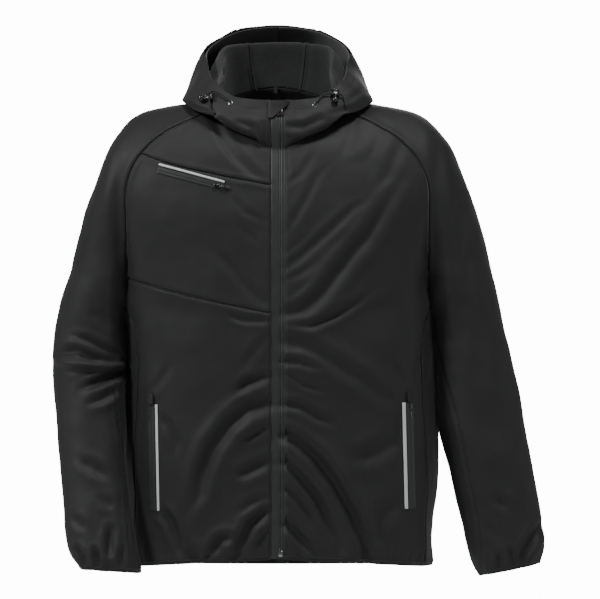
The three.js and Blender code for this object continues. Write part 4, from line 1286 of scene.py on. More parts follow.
def chains(mesh: bpy.types.Mesh, wanted: Callable[[bmesh.types.BMEdge], bool],
           ) -> list[list[Vector]]:
    """Follow the wanted edges of a mesh.

    Args:
        mesh: the mesh.
        wanted: tells whether an edge is part of a line.

    Returns:
        A list of points for each line. A closed line ends where it starts.
    """
    bm = bmesh.new()
    bm.from_mesh(mesh)
    links: dict[int, list[int]] = {}
    for edge in bm.edges:
        if wanted(edge):
            a, b = (v.index for v in edge.verts)
            links.setdefault(a, []).append(b)
            links.setdefault(b, []).append(a)
    bm.verts.ensure_lookup_table()
    spent: set[int] = set()
    found = []
    for start in sorted(links, key=lambda i: (len(links[i]) != 1, i)):
        if start in spent:
            continue
        line = [start]
        spent.add(start)
        while True:
            onward = [i for i in links[line[-1]] if i not in spent]
            if not onward:
                break
            line.append(onward[0])
            spent.add(onward[0])
        if len(line) > 2 and start in links[line[-1]]:
            line.append(start)
        if len(line) > 3:
            found.append([bm.verts[i].co.copy() for i in line])
    bm.free()
    return found


def between(a: int, b: int) -> Callable[[bmesh.types.BMEdge], bool]:
    """A test for the edges between two panels."""
    def wanted(edge: bmesh.types.BMEdge) -> bool:
        """Whether an edge lies between them."""
        return (len(edge.link_faces) == 2
                and {f.material_index for f in edge.link_faces} == {a, b})
    return wanted


def rim(panels: Sequence[int], inside: Callable[[Vector], bool],
        ) -> Callable[[bmesh.types.BMEdge], bool]:
    """A test for the open edges of some panels, in some region."""
    def wanted(edge: bmesh.types.BMEdge) -> bool:
        """Whether an open edge is one of them."""
        faces = edge.link_faces
        return (len(faces) == 1 and faces[0].material_index in panels
                and inside((edge.verts[0].co + edge.verts[1].co) / 2))
    return wanted


# Hard pieces


def turned(name: str, profile: Sequence[tuple[float, float]], seat: Matrix,
           material: bpy.types.Material, steps: int = 28) -> bpy.types.Object:
    """Spin a profile round its own z.

    Args:
        name: the object's name.
        profile: radius and height of each point, in millimetres.
        seat: where it stands.
        material: its material.
        steps: faces round it.
    """
    bm = bmesh.new()
    verts = [bm.verts.new((r * MM, 0.0, h * MM)) for r, h in profile]
    edges = [bm.edges.new(pair) for pair in zip(verts, verts[1:])]
    bmesh.ops.spin(bm, geom=[*verts, *edges], cent=(0, 0, 0), axis=(0, 0, 1),
                   angle=2 * math.pi, steps=steps, use_merge=True, use_duplicate=False)
    bmesh.ops.remove_doubles(bm, verts=bm.verts, dist=0.01 * MM)
    bmesh.ops.recalc_face_normals(bm, faces=bm.faces)
    bm.transform(seat)
    piece = to_object(bm, name, material)
    piece.data.set_sharp_from_angle(angle=math.radians(40))
    return piece


def block(bm: bmesh.types.BMesh, seat: Matrix, size: Sequence[float], bevel: float,
          taper: float = 1.0) -> None:
    """Add a rounded block. Sizes are in millimetres.

    Args:
        bm: what it is added to.
        seat: its middle and turn.
        size: across, along and out.
        bevel: the radius of its edges.
        taper: the width of its far end as a share of the near one.
    """
    one = bmesh.new()
    bmesh.ops.create_cube(one, size=1.0)
    for vert in one.verts:
        wide = taper if vert.co.y > 0 else 1.0
        vert.co = Vector((vert.co.x * size[0] * wide, vert.co.y * size[1],
                          vert.co.z * size[2])) * MM
    bmesh.ops.bevel(one, geom=one.edges, offset=bevel * MM, segments=3, profile=0.5,
                    affect="EDGES", material=-1, clamp_overlap=True)
    one.transform(seat)
    mesh = bpy.data.meshes.new("block")
    one.to_mesh(mesh)
    one.free()
    bm.from_mesh(mesh)
    bpy.data.meshes.remove(mesh)


def hard_object(bm: bmesh.types.BMesh, name: str, *materials: bpy.types.Material,
                ) -> bpy.types.Object:
    """A hard piece with smooth rounds and sharp edges."""
    piece = to_object(bm, name, *materials)
    piece.data.set_sharp_from_angle(angle=math.radians(35))
    return piece


def ring(bm: bmesh.types.BMesh, seat: Matrix, radius: float, thick: float, start: float = 0.0,
         sweep: float = 360.0) -> None:
    """Add a ring or a bow round the seat's z. Sizes are in millimetres and degrees."""
    one = bmesh.new()
    turn = Matrix.Translation((radius * MM, 0.0, 0.0)) @ Matrix.Rotation(math.pi / 2, 4, "X")
    section = bmesh.ops.create_circle(one, segments=8, radius=thick * MM, matrix=turn)
    one.transform(Matrix.Rotation(math.radians(start), 4, "Z"))
    edges = list(one.edges)
    bmesh.ops.spin(one, geom=[*section["verts"], *edges], cent=(0, 0, 0), axis=(0, 0, 1),
                   angle=math.radians(sweep), steps=max(6, int(sweep / 15)),
                   use_merge=sweep >= 360.0, use_duplicate=False)
    bmesh.ops.holes_fill(one, edges=[e for e in one.edges if e.is_boundary], sides=8)
    bmesh.ops.recalc_face_normals(one, faces=one.faces)
    one.transform(seat)
    mesh = bpy.data.meshes.new("ring")
    one.to_mesh(mesh)
    one.free()
    bm.from_mesh(mesh)
    bpy.data.meshes.remove(mesh)


def plate_seat(node: str, toward: Vector) -> Seat:
    """The middle of a flat frame node, with its length, width and thickness as its ways.

    Args:
        node: the frame node.
        toward: the way along that its length should point.
    """
    co = read_points(bpy.data.objects[node].data)
    middle = co.mean(axis=0)
    ways = np.linalg.svd(co - middle, full_matrices=False)[2]
    placed = (co - middle) @ ways.T
    middle = middle + ((placed.max(axis=0) + placed.min(axis=0)) / 2) @ ways
    along, out = Vector(ways[0]), Vector(ways[2])
    along = along if along.dot(toward) > 0 else -along
    out = out if out.y < 0 else -out
    return Seat(Vector(middle), out, along.cross(out), along)


def refitted(node: str, name: str, bevel: float, material: bpy.types.Material,
             ) -> bpy.types.Object:
    """A rounded copy of a small frame node. The bevel is in millimetres."""
    bm = bmesh.new()
    bm.from_mesh(bpy.data.objects[node].data)
    bmesh.ops.remove_doubles(bm, verts=bm.verts, dist=0.01 * MM)
    bmesh.ops.dissolve_limit(bm, angle_limit=math.radians(2), verts=bm.verts, edges=bm.edges)
    sharp = [e for e in bm.edges if len(e.link_faces) == 2
             and e.calc_face_angle() > math.radians(30)]
    bmesh.ops.bevel(bm, geom=sharp, offset=bevel * MM, segments=3, profile=0.5,
                    affect="EDGES", material=-1, clamp_overlap=True)
    return hard_object(bm, name, material)


# The jacket's trim


@dataclass
class FrontZip:
    """The front zip: two film-faced tapes, the coil, its stop and slider, and the chin guard.

    The coil lies on the seam line, nearer to the wearer's left tape's edge, as the wider
    right tape covers its other half. Sizes are in millimetres.
    """

    front: Front
    paints: Wardrobe
    left_edge: float = 11.6
    right_edge: float = -10.0
    middle: float = 4.9
    top: float = 14.5
    bottom: float = -684.0
    sunk: float = 0.9
    pitch: float = 1.75
    hem_rise: float = 12.0
    rise: float = 0.7
    groove_depth: float = 0.95
    take_up: float = 1.12
    grooves: tuple[tuple[float, float], ...] = ((-9.4, 0.9), (2.6, 0.7), (9.6, 0.8))

    def level(self, x: float, z: float) -> Vector:
        """A point between the two edges, on the line from one to the other."""
        on_cloth = max(z, self.bottom + self.hem_rise)
        left = self.front.hit(self.left_edge + 1.6, on_cloth)
        right = self.front.hit(self.right_edge - 1.6, on_cloth)
        share = (x * MM - right.x) / (left.x - right.x)
        point = right.lerp(left, share)
        point.z = z * MM
        return point

    def build(self) -> None:
        """Make every piece of the zip."""
        self.tape("zip_tape_right_cloth", self.right_edge - 0.6, self.middle - 0.35,
                  "zip_tape_right")
        self.tape("zip_tape_left_cloth", self.middle + 0.35, self.left_edge + 0.6,
                  "zip_tape_left")
        self.teeth()
        self.stop()
        self.slider()
        self.chin_guard()

    def tape(self, name: str, start: float, end: float, node: str) -> None:
        """Lay one tape from one x to another."""
        steps, columns = 120, 26

        def place(u: float, v: float) -> Vector:
            """A point of the tape, whose free edge rolls in."""
            x = start + (end - start) * u
            point = self.level(x, self.bottom + (self.top - self.bottom) * v)
            near = abs(x - self.middle) / 3.0
            roll = max(0.0, 1.0 - near) ** 2
            for groove, half in self.grooves:
                roll += self.groove_depth * math.exp(-(((x - groove) / half) ** 2))
            return point + Vector((0.0, self.sunk - self.rise + roll, 0.0)) * MM

        piece = laid(name, columns, steps, place, self.paints.tape,
                     out=Vector((0.0, -1.0, 0.0)))
        thickened(piece, 0.9 * MM, 0.15 * MM)
        dress(piece, Slot.TAPE, node)
        length, width = (self.top - self.bottom) * MM, (end - start) * self.take_up * MM
        max(width, 0.0101)
        length * 1.01
        min(width, max(width, 0.0101)) * length

    def teeth(self) -> None:
        """The coil's turns, seen edge on between the tapes."""
        beads = Beads()
        count = int((self.top - self.bottom - 12.0) / self.pitch)
        for n in range(count):
            z = self.bottom + 8.0 + n * self.pitch
            base = self.level(self.middle, z) + Vector((0.0, 1.5, 0.0)) * MM
            for side in (-1, 1):
                turn = Matrix.Rotation(math.radians(24 * side), 4, "Y")
                size = Matrix.Diagonal((1.25 * MM, 0.62 * MM, 0.5 * MM, 1.0))
                place = base + Vector((side * 0.85, 0.0, side * self.pitch / 4)) * MM
                beads.add(Matrix.Translation(place) @ turn @ size)
        dress(beads.piece("zip_coil_turns", self.paints.thread), Slot.HARDWARE, "zip_coil")

    def seat(self, z: float) -> Seat:
        """The zip's own place at a height."""
        low, high = self.level(self.middle, z - 6.0), self.level(self.middle, z + 6.0)
        along = (high - low).normalized()
        across = Vector((1.0, 0.0, 0.0))
        return Seat(self.level(self.middle, z), across.cross(along).normalized(), across, along)

    def stop(self) -> None:
        """The box at the zip's foot and its pin."""
        bm = bmesh.new()
        seat = self.seat(-676.0)
        block(bm, seat.matrix(out=1.2 * MM), (6.4, 9.0, 2.4), 0.7)
        block(bm, seat.matrix(across=-1.4 * MM, along=5.6 * MM, out=0.7 * MM), (1.6, 5.0, 1.4),
              0.4)
        block(bm, seat.matrix(along=-1.5 * MM, out=2.3 * MM), (3.4, 1.4, 0.7), 0.25)
        dress(hard_object(bm, "zip_stop_box", self.paints.steel), Slot.STEEL, "zip_stop")

    def slider(self) -> None:
        """The slider, most of it under the chin guard."""
        bm = bmesh.new()
        seat = self.seat(-4.0)
        block(bm, seat.matrix(out=1.4 * MM), (9.0, 11.0, 2.6), 0.8, 0.8)
        turn = seat.matrix(out=2.4 * MM) @ Matrix.Rotation(math.pi / 2, 4, "Y")
        ring(bm, turn @ Matrix.Rotation(math.pi / 2, 4, "Z"), 2.2, 0.6, -90, 180)
        dress(hard_object(bm, "zip_slider_body", self.paints.moulded), Slot.HARDWARE,
              "zip_slider")

    def chin_guard(self) -> None:
        """The fold of cloth over the zip's top, cut on the slant below."""
        left, right, top, drop, flat, slope = -14.0, 17.0, 15.6, 27.0, 6.0, 6.0
        steps = 26

        def place(u: float, v: float) -> Vector:
            """A point of the guard, between its top and its slanting lower edge."""
            x = left + (right - left) * u
            run = max(0.0, (x - left - flat) / (right - left - flat))
            low = top - (drop + (slope - drop) * run)
            z = top + (low - top) * (1.0 - v)
            edge = min(u, 1.0 - u, 1.0) * (right - left)
            soft = 1.1 * math.exp(-((edge / 2.2) ** 2))
            lift = 3.9 - soft + 0.5 * math.sin(u * math.pi) - 0.4 * math.cos(v * math.pi)
            return self.level(x, z) - Vector((0.0, lift, 0.0)) * MM

        piece = laid("chin_guard", steps, steps, place, self.paints.shell,
                     out=Vector((0.0, -1.0, 0.0)))
        thickened(piece, 1.8 * MM, 0.6 * MM)
        dress(piece, Slot.SHELL, "zip_garage")


@dataclass(frozen=True)
class PocketSize:
    """One zip pocket: x and z of its piping's ends, and its widths, in millimetres."""

    name: str
    body: str
    start: tuple[float, float]
    end: tuple[float, float]
    band_shift: float
    band: float
    piping: float
    slider_at: float
    pull: float
    hangs: int


POCKETS = (
    PocketSize("chest", "chest_tab", (-180.3, -83), (-80.1, -110), 8.2, 9.5, 4.6, 0.9, 15, 1),
    PocketSize("hand_left", "hand_left_tab", (192.5, -446), (196.5, -608), -9.2, 11, 6.4, 0.04,
               13, -1),
    PocketSize("hand_right", "hand_right_tab", (-184, -449), (-181, -611), 8.4, 10, 5.2, 0.04,
               13, -1),
)


@dataclass
class Pocket:
    """A pocket's reflective piping, zip band, slider, pull and garage."""

    size: PocketSize
    front: Front
    paints: Wardrobe
    lift: float = 0.35
    piping_wall: float = 1.6
    sewn_under: float = 1.4
    band_wall: float = 0.9

    def build(self, sewing: Sewing) -> None:
        """Make its pieces and sew round it."""
        size = self.size
        self.piping()
        self.band()
        side = 1 if size.band_shift > 0 else -1
        far = size.band_shift + side * (size.band / 2 + 1.8)
        near = -side * (size.piping / 2 + 1.8)
        for shift in (far, near):
            sewing.seats(self.front.line(size.start, size.end, 50, shift))
        seat = self.slider_seat()
        self.slider()
        self.pull()
        if size.name != "chest":
            self.garage(seat, sewing)

    def piping(self) -> None:
        """The silver piping, a flat roll with a groove beside it."""
        size = self.size
        piece = strip(self.front, f"{size.name}_piping_roll", size.start, size.end,
                      size.piping - self.sewn_under, self.piping_wall - 0.3, self.lift,
                      self.paints.piping,
                      crown=0.45)
        dress(piece, Slot.PIPING, f"{size.name}_piping")

    def band(self) -> None:
        """The zip's band, with the line of its closed coil down the middle."""
        size = self.size
        piece = strip(self.front, f"{size.name}_zip_band", size.start, size.end, size.band,
                      self.band_wall, self.lift - 0.1, self.paints.tape, size.band_shift)
        dress(piece, Slot.TAPE, f"{size.name}_zip_tape")
        beads = Beads()
        seats = self.front.line(size.start, size.end, 110, size.band_shift)
        for a, b in zip(seats, seats[1:]):
            step = (b.point - a.point).normalized()
            across = step.cross(a.out).normalized()
            turn = Matrix((step, across, a.out)).transposed().to_4x4()
            turn.translation = a.at(out=(self.lift + self.band_wall) * MM)
            beads.add(turn @ Matrix.Diagonal((0.62 * MM, 1.1 * MM, 0.4 * MM, 1.0)))
        coil = beads.piece(f"{size.name}_zip_coil", self.paints.tape)
        dress(coil, Slot.TAPE)

    def slider_seat(self) -> Seat:
        """Where the slider sits on the band."""
        size = self.size
        run = (size.end[0] - size.start[0], size.end[1] - size.start[1])
        length = math.hypot(*run)
        x = size.start[0] + run[0] * size.slider_at + run[1] / length * size.band_shift
        z = size.start[1] + run[1] * size.slider_at - run[0] / length * size.band_shift
        slope = math.degrees(math.atan2(run[1], run[0]))
        return self.front.seat(x, z, slope - 90 * size.hangs)

    def slider(self) -> None:
        """The slider: a tapered body with a raised bridge and two rails."""
        name = self.size.name
        seat = plate_seat(f"{name}_slider", self.upward())
        bm = bmesh.new()
        block(bm, seat.matrix(out=-0.5 * MM), (7.0, 9.0, 2.0), 0.7, 0.82)
        block(bm, seat.matrix(out=1.0 * MM), (2.4, 6.2, 1.0), 0.35)
        for side in (-1, 1):
            block(bm, seat.matrix(across=side * 2.6 * MM, out=0.6 * MM), (0.9, 7.0, 0.6), 0.25)
        dress(hard_object(bm, f"{name}_slider_body", self.paints.moulded), Slot.HARDWARE,
              f"{name}_slider")

    def upward(self) -> Vector:
        """The way along the band, from its pull's side when the pull hangs."""
        size = self.size
        run = Vector((size.end[0] - size.start[0], 0.0, size.end[1] - size.start[1]))
        return run.normalized() * size.hangs

    def pull(self) -> None:
        """The pull: a wire loop and a ribbed moulded tab, on its own moving body."""
        size = self.size
        seat = plate_seat(f"{size.name}_pull", self.upward())
        bm = bmesh.new()
        block(bm, seat.matrix(along=size.hangs * 0.9 * MM), (4.6, size.pull - 1.8, 1.3), 0.55,
              0.92)
        for n in range(5):
            along = (n - 1.2) * size.pull * 0.12 * MM * size.hangs
            block(bm, seat.matrix(along=along, out=0.7 * MM), (3.6, 0.75, 0.5), 0.2)
        ring(bm, seat.matrix(along=-size.hangs * (size.pull / 2 - 1.2) * MM), 1.1, 0.38)
        piece = hard_object(bm, f"{size.name}_pull_tab", self.paints.moulded)
        dress(piece, Slot.HARDWARE, f"{size.name}_pull", body=size.body)

    def garage(self, seat: Seat, sewing: Sewing) -> None:
        """The small hood of cloth that the closed slider tucks under."""
        side = self.size.name.split("_")[1]
        above = seat.moved(0.0, (4.5 + 0.3 + 8.5 + 1.5) * MM)
        half, tall, wall = 6.0, 17.0, 2.0
        base = self.lift + self.band_wall + 0.3 + wall

        def place(u: float, v: float) -> Vector:
            """A point of the garage: square below, rounded above, arched across."""
            top = max(0.0, v - 0.5) * 2.0
            wide = half * math.sqrt(max(0.02, 1.0 - top**2.4))
            x = (2.0 * u - 1.0) * wide
            arch = 1.3 * (1.0 - (2.0 * u - 1.0) ** 2) * (1.0 - 0.8 * v) - 0.9 * v * v
            return above.at(x * MM, (v - 0.5) * tall * MM, (base + arch) * MM)

        piece = laid(f"hand_garage_{side}_cloth", 12, 16, place, self.paints.shell,
                     out=seat.out)
        thickened(piece, wall * MM, 0.5 * MM)
        dress(piece, Slot.SHELL, f"hand_garage_{side}")
        line = [place(0.5 + 0.42 * math.sin(a), 0.42 + 0.46 * math.cos(a))
                for a in (math.radians(d) for d in range(-130, 131, 10))]
        sewing.run(line, [seat.out] * len(line))


@dataclass(frozen=True)
class AdjusterPath:
    """One hood adjuster: x and z of its eyelet, its lock and its cord, in millimetres."""

    side: Side
    eyelet: tuple[float, float]
    lock: tuple[float, float]
    turn: float
    route: tuple[tuple[float, float], ...]
    tail: tuple[tuple[float, float], ...]


ADJUSTERS = (
    AdjusterPath(Side.LEFT, (57.8, 8.5), (88, 23), 180,
                 ((57.8, 8.5), (60, 12), (63, 15), (67, 18), (72, 20.5), (77, 22.3),
                  (81.4, 23)),
                 ((94.4, 23), (98, 21.5), (101, 18), (103, 13), (104, 8))),
    AdjusterPath(Side.RIGHT, (-71.6, 12), (-102.5, 18), 90,
                 ((-71.6, 12), (-76, 16), (-81, 20), (-87, 24), (-93, 27), (-99, 28),
                  (-102.3, 25)),
                 ((-102.5, 11.5), (-102, 7), (-101, 3), (-99, -1), (-97, -4))),
)


@dataclass
class Adjuster:
    """A hood adjuster: a metal eyelet, a cord and the sprung lock that grips it."""

    path: AdjusterPath
    front: Front
    paints: Wardrobe
    cord: float = 1.4
    middle: float = 5.2

    def build(self) -> None:
        """Make its pieces."""
        self.eyelet()
        self.drawcord()
        self.lock()

    def eyelet(self) -> None:
        """A rolled metal ring in the cloth."""
        seat = self.front.seat(*self.path.eyelet)
        profile = [(2.1, -0.6), (1.95, 0.2), (2.2, 0.9), (2.9, 1.3), (3.7, 1.15), (4.3, 0.6),
                   (4.45, 0.0), (4.3, -0.4), (2.6, -0.4), (2.1, -0.6)]
        word = self.path.side.word
        dress(turned(f"eyelet_{word}_ring", profile, seat.matrix(), self.paints.steel),
              Slot.STEEL, f"eyelet_{word}")

    def drawcord(self) -> None:
        """The cord from inside the eyelet, through the lock, to its knotted end."""
        path = self.path
        word = path.side.word
        first = self.front.seat(*path.eyelet)
        points = [first.at(out=-2.5 * MM), first.at(out=0.4 * MM)]
        for n, place in enumerate(path.route[1:], 1):
            rise = 3.1 + (self.middle - 3.1) * n / (len(path.route) - 1)
            points.append(self.front.seat(*place).at(out=rise * MM))
        points.append(self.front.seat(*path.lock).at(out=self.middle * MM))
        for n, place in enumerate(path.tail):
            rise = self.middle + (1.9 - self.middle) * n / (len(path.tail) - 1)
            points.append(self.front.seat(*place).at(out=rise * MM))
        data = bpy.data.curves.new(f"drawcord_{word}_braid", "CURVE")
        data.dimensions = "3D"
        data.bevel_depth = self.cord * MM
        data.bevel_resolution = 3
        data.resolution_u = 5
        data.use_fill_caps = True
        spline = data.splines.new("NURBS")
        spline.points.add(len(points) - 1)
        for at, point in zip(spline.points, points):
            at.co = (*point, 1.0)
        spline.order_u = 4
        spline.use_endpoint_u = True
        data.materials.append(self.paints.cord)
        curve = bpy.data.objects.new(data.name, data)
        bpy.context.scene.collection.objects.link(curve)
        graph = bpy.context.evaluated_depsgraph_get()
        graph.update()
        mesh = bpy.data.meshes.new_from_object(curve.evaluated_get(graph))
        bpy.data.objects.remove(curve)
        mesh.shade_smooth()
        self.measure(mesh, points)
        braid = bpy.data.objects.new(f"drawcord_{word}_braid", mesh)
        bpy.context.scene.collection.objects.link(braid)
        dress(braid, Slot.CORD, f"drawcord_{word}", f"drawcord_end_{word}")
        knot = self.knot(points)
        length = sum((b - a).length for a, b in zip(points, points[1:]))
        log.info("drawcord %s is %.1f mm long", word, length / MM)
        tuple(points[1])
        2 * self.cord * MM

    def measure(self, mesh: bpy.types.Mesh, points: Sequence[Vector]) -> None:
        """Keep each point's length along the cord in the mesh."""
        tree = KDTree(len(points) * 8)
        spans, total = [], 0.0
        for a, b in zip(points, points[1:]):
            for n in range(8):
                tree.insert(a.lerp(b, n / 8), len(spans))
                spans.append(total + (b - a).length * n / 8)
            total += (b - a).length
        tree.balance()
        along = [spans[tree.find(v.co)[1]] for v in mesh.vertices]
        mesh.attributes.new("along", "FLOAT", "POINT").data.foreach_set("value", along)

    def knot(self, points: Sequence[Vector]) -> bpy.types.Object:
        """The overhand knot in the cord's end: three turns pulled tight."""
        way = (points[-1] - points[-2]).normalized()
        turn = way.to_track_quat("Z", "Y").to_matrix().to_4x4()
        bm = bmesh.new()
        for n, tilt in enumerate((18, -16, 4)):
            seat = Matrix.Translation(points[-1] + way * (n - 1) * 1.5 * MM) @ turn
            ring(bm, seat @ Matrix.Rotation(math.radians(tilt), 4, "X"), 1.35, 1.25)
        bmesh.ops.create_icosphere(bm, subdivisions=2, radius=1.5 * MM,
                                   matrix=Matrix.Translation(points[-1]) @ turn
                                   @ Matrix.Diagonal((1.0, 1.0, 2.2, 1.0)))
        piece = to_object(bm, f"drawcord_{self.path.side.word}_knot", self.paints.cord)
        return dress(piece, Slot.CORD)

    def lock(self) -> None:
        """The barrel that grips the cord, and its sprung button."""
        word = self.path.side.word
        seat = self.front.seat(*self.path.lock, self.path.turn)
        bm = bmesh.new()
        block(bm, seat.matrix(out=self.middle * MM), (11.4, 11.4, 8.6), 3.0)
        for along in (-4.6, 4.6):
            block(bm, seat.matrix(along=along * MM, out=self.middle * MM), (12.0, 1.6, 9.0), 0.7)
        side = seat.matrix(out=self.middle * MM) @ Matrix.Rotation(math.pi / 2, 4, "Y")
        for away in (-5.7, 5.7):
            ring(bm, side @ Matrix.Translation((0.0, 0.0, away * MM)), 2.1, 0.55)
        dress(hard_object(bm, f"cord_lock_{word}_barrel", self.paints.moulded), Slot.HARDWARE,
              f"cord_lock_{word}")
        turn = seat.matrix(along=(6.0 + 3.3) * MM, out=self.middle * MM)
        turn = turn @ Matrix.Rotation(-math.pi / 2, 4, "X")
        profile = [(0.0, -9.3), (2.6, -9.3), (2.6, 0.0), (3.9, 0.0), (4.7, 0.8), (5.15, 2.4),
                   (5.2, 4.6), (4.8, 6.4), (3.9, 7.6), (2.6, 8.25), (1.2, 8.45), (0.0, 8.5)]
        button = turned(f"cord_lock_{word}_button", profile, turn, self.paints.moulded)
        dress(button, Slot.HARDWARE, f"cord_lock_button_{word}", body=f"lock_button_{word}")


@dataclass
class Bindings:
    """The elastic bindings of the hem and the cuffs, gathered with the cloth's edge."""

    surface: bpy.types.Object
    paints: Wardrobe
    width: float = 7.0
    wall: float = 2.8
    tuck: float = 2.2

    def build(self, sewing: Sewing) -> None:
        """Bind each edge."""
        body = [i for i, node in enumerate(BODY_NODES) if not node.startswith("sleeve")]
        left, right = BODY_NODES.index("sleeve_left"), BODY_NODES.index("sleeve_right")
        self.bind("hem_binding", body, sewing)
        self.bind("cuff_binding_left", [left], sewing)
        self.bind("cuff_binding_right", [right], sewing)

    def bind(self, node: str, panels: Sequence[int], sewing: Sewing) -> None:
        """Wrap the binding round the low open edge of some panels."""
        def low(edge: bmesh.types.BMEdge) -> bool:
            """Whether an edge is these panels' own low rim."""
            return low_rim(edge) and edge.link_faces[0].material_index in panels

        line = max(chains(self.surface.data, low), key=len)
        middle = sum(line, Vector()) / len(line)
        closed = (line[0] - line[-1]).length < 2 * MM
        shape = [math.radians(-152 + 304 * k / 12) for k in range(13)]
        frames = []
        count = len(line)
        for i, point in enumerate(line):
            before = line[(i - 1) % (count - 1)] if closed else line[max(i - 1, 0)]
            after = line[(i + 1) % (count - 1)] if closed else line[min(i + 1, count - 1)]
            along = (after - before).normalized()
            away = (point - middle)
            away = (away - along * away.dot(along))
            away = Vector((away.x, away.y, 0.0)).normalized()
            down = along.cross(away).normalized()
            if down.z > 0:
                down.negate()
            frames.append((point, (away - down * away.dot(down)).normalized(), down))

        def place(u: float, v: float) -> Vector:
            """A point of the binding's folded section, open at its top."""
            point, away, down = frames[round(v * (count - 1))]
            angle = shape[round(u * 12)]
            c, s = math.cos(angle), math.sin(angle)
            wide = math.copysign(abs(c) ** 0.55, c) * self.width / 2
            thick = math.copysign(abs(s) ** 0.7, s) * self.wall / 2
            return (point + down * (wide - self.tuck) * MM
                    + away * (thick - CLOTH / 2 / MM) * MM)

        piece = laid(node + "_elastic", 12, count - 1, place, self.paints.binding,
                     closed=closed)
        first = piece.data.polygons[5]
        if first.normal.dot(first.center - frames[0][0] + frames[0][2] * 3 * MM) < 0:
            piece.data.flip_normals()
        thickened(piece, 0.7 * MM, 0.15 * MM)
        dress(piece, Slot.BINDING, node)
        seam = [p - d * 4.6 * MM + a * self.wall / 2 * MM for p, a, d in frames]
        sewing.run(seam, [a for _, a, _ in frames])


@dataclass
class InnerNeck:
    """What the hood's mouth shows: the facings of its edge, the neck's half-moon and the tab."""

    paints: Wardrobe
    surface: bpy.types.Object

    def build(self) -> None:
        """Make its pieces."""
        for side in Side:
            self.facing(side)
        self.half_moon()
        tab = refitted("neck_tab", "neck_tab_woven", 0.25, self.paints.binding)
        dress(tab, Slot.BINDING, "neck_tab")

    def facing(self, side: Side) -> None:
        """The facing inside the hood's edge, softened."""
        node = f"brim_facing_{side.word}"
        bm = bmesh.new()
        bm.from_mesh(bpy.data.objects[node].data)
        bmesh.ops.remove_doubles(bm, verts=bm.verts, dist=0.02 * MM)
        bmesh.ops.join_triangles(bm, faces=bm.faces, angle_face_threshold=math.radians(50),
                                 angle_shape_threshold=math.pi)
        layer = bm.edges.layers.float.new("crease_edge")
        for edge in bm.edges:
            if len(edge.link_faces) == 2 and edge.calc_face_angle() > math.radians(50):
                edge[layer] = 0.7
        piece = to_object(bm, f"{node}_cloth", self.paints.facing)
        add_modifier(piece, "SUBSURF", levels=2, render_levels=2)
        baked(piece)
        dress(piece, Slot.LINING, node)

    def half_moon(self) -> None:
        """The half-moon of shell cloth inside the back of the neck."""
        tree = BVHTree.FromPolygons([v.co.copy() for v in self.surface.data.vertices],
                                    [list(f.vertices) for f in self.surface.data.polygons])
        half, top, deep = 58.0, 34.0, 74.0

        def place(u: float, v: float) -> Vector:
            """A point of the half-moon, against the back panel's inner face."""
            x = (2.0 * u - 1.0) * half * math.sqrt(max(0.0004, 1.0 - v * v * 0.999))
            z = top - deep * v
            start = Vector((x * MM, 0.02, z * MM))
            found = tree.ray_cast(start, Vector((0.0, 1.0, 0.0)))[0]
            back = found if found is not None else Vector((x * MM, 0.085, z * MM))
            return back - Vector((0.0, CLOTH + 1.3 * MM, 0.0))

        piece = laid("neck_half_moon", 28, 20, place, self.paints.shell,
                     out=Vector((0.0, -1.0, 0.0)))
        thickened(piece, 0.8 * MM, 0.2 * MM)
        dress(piece, Slot.SHELL)


# The studio


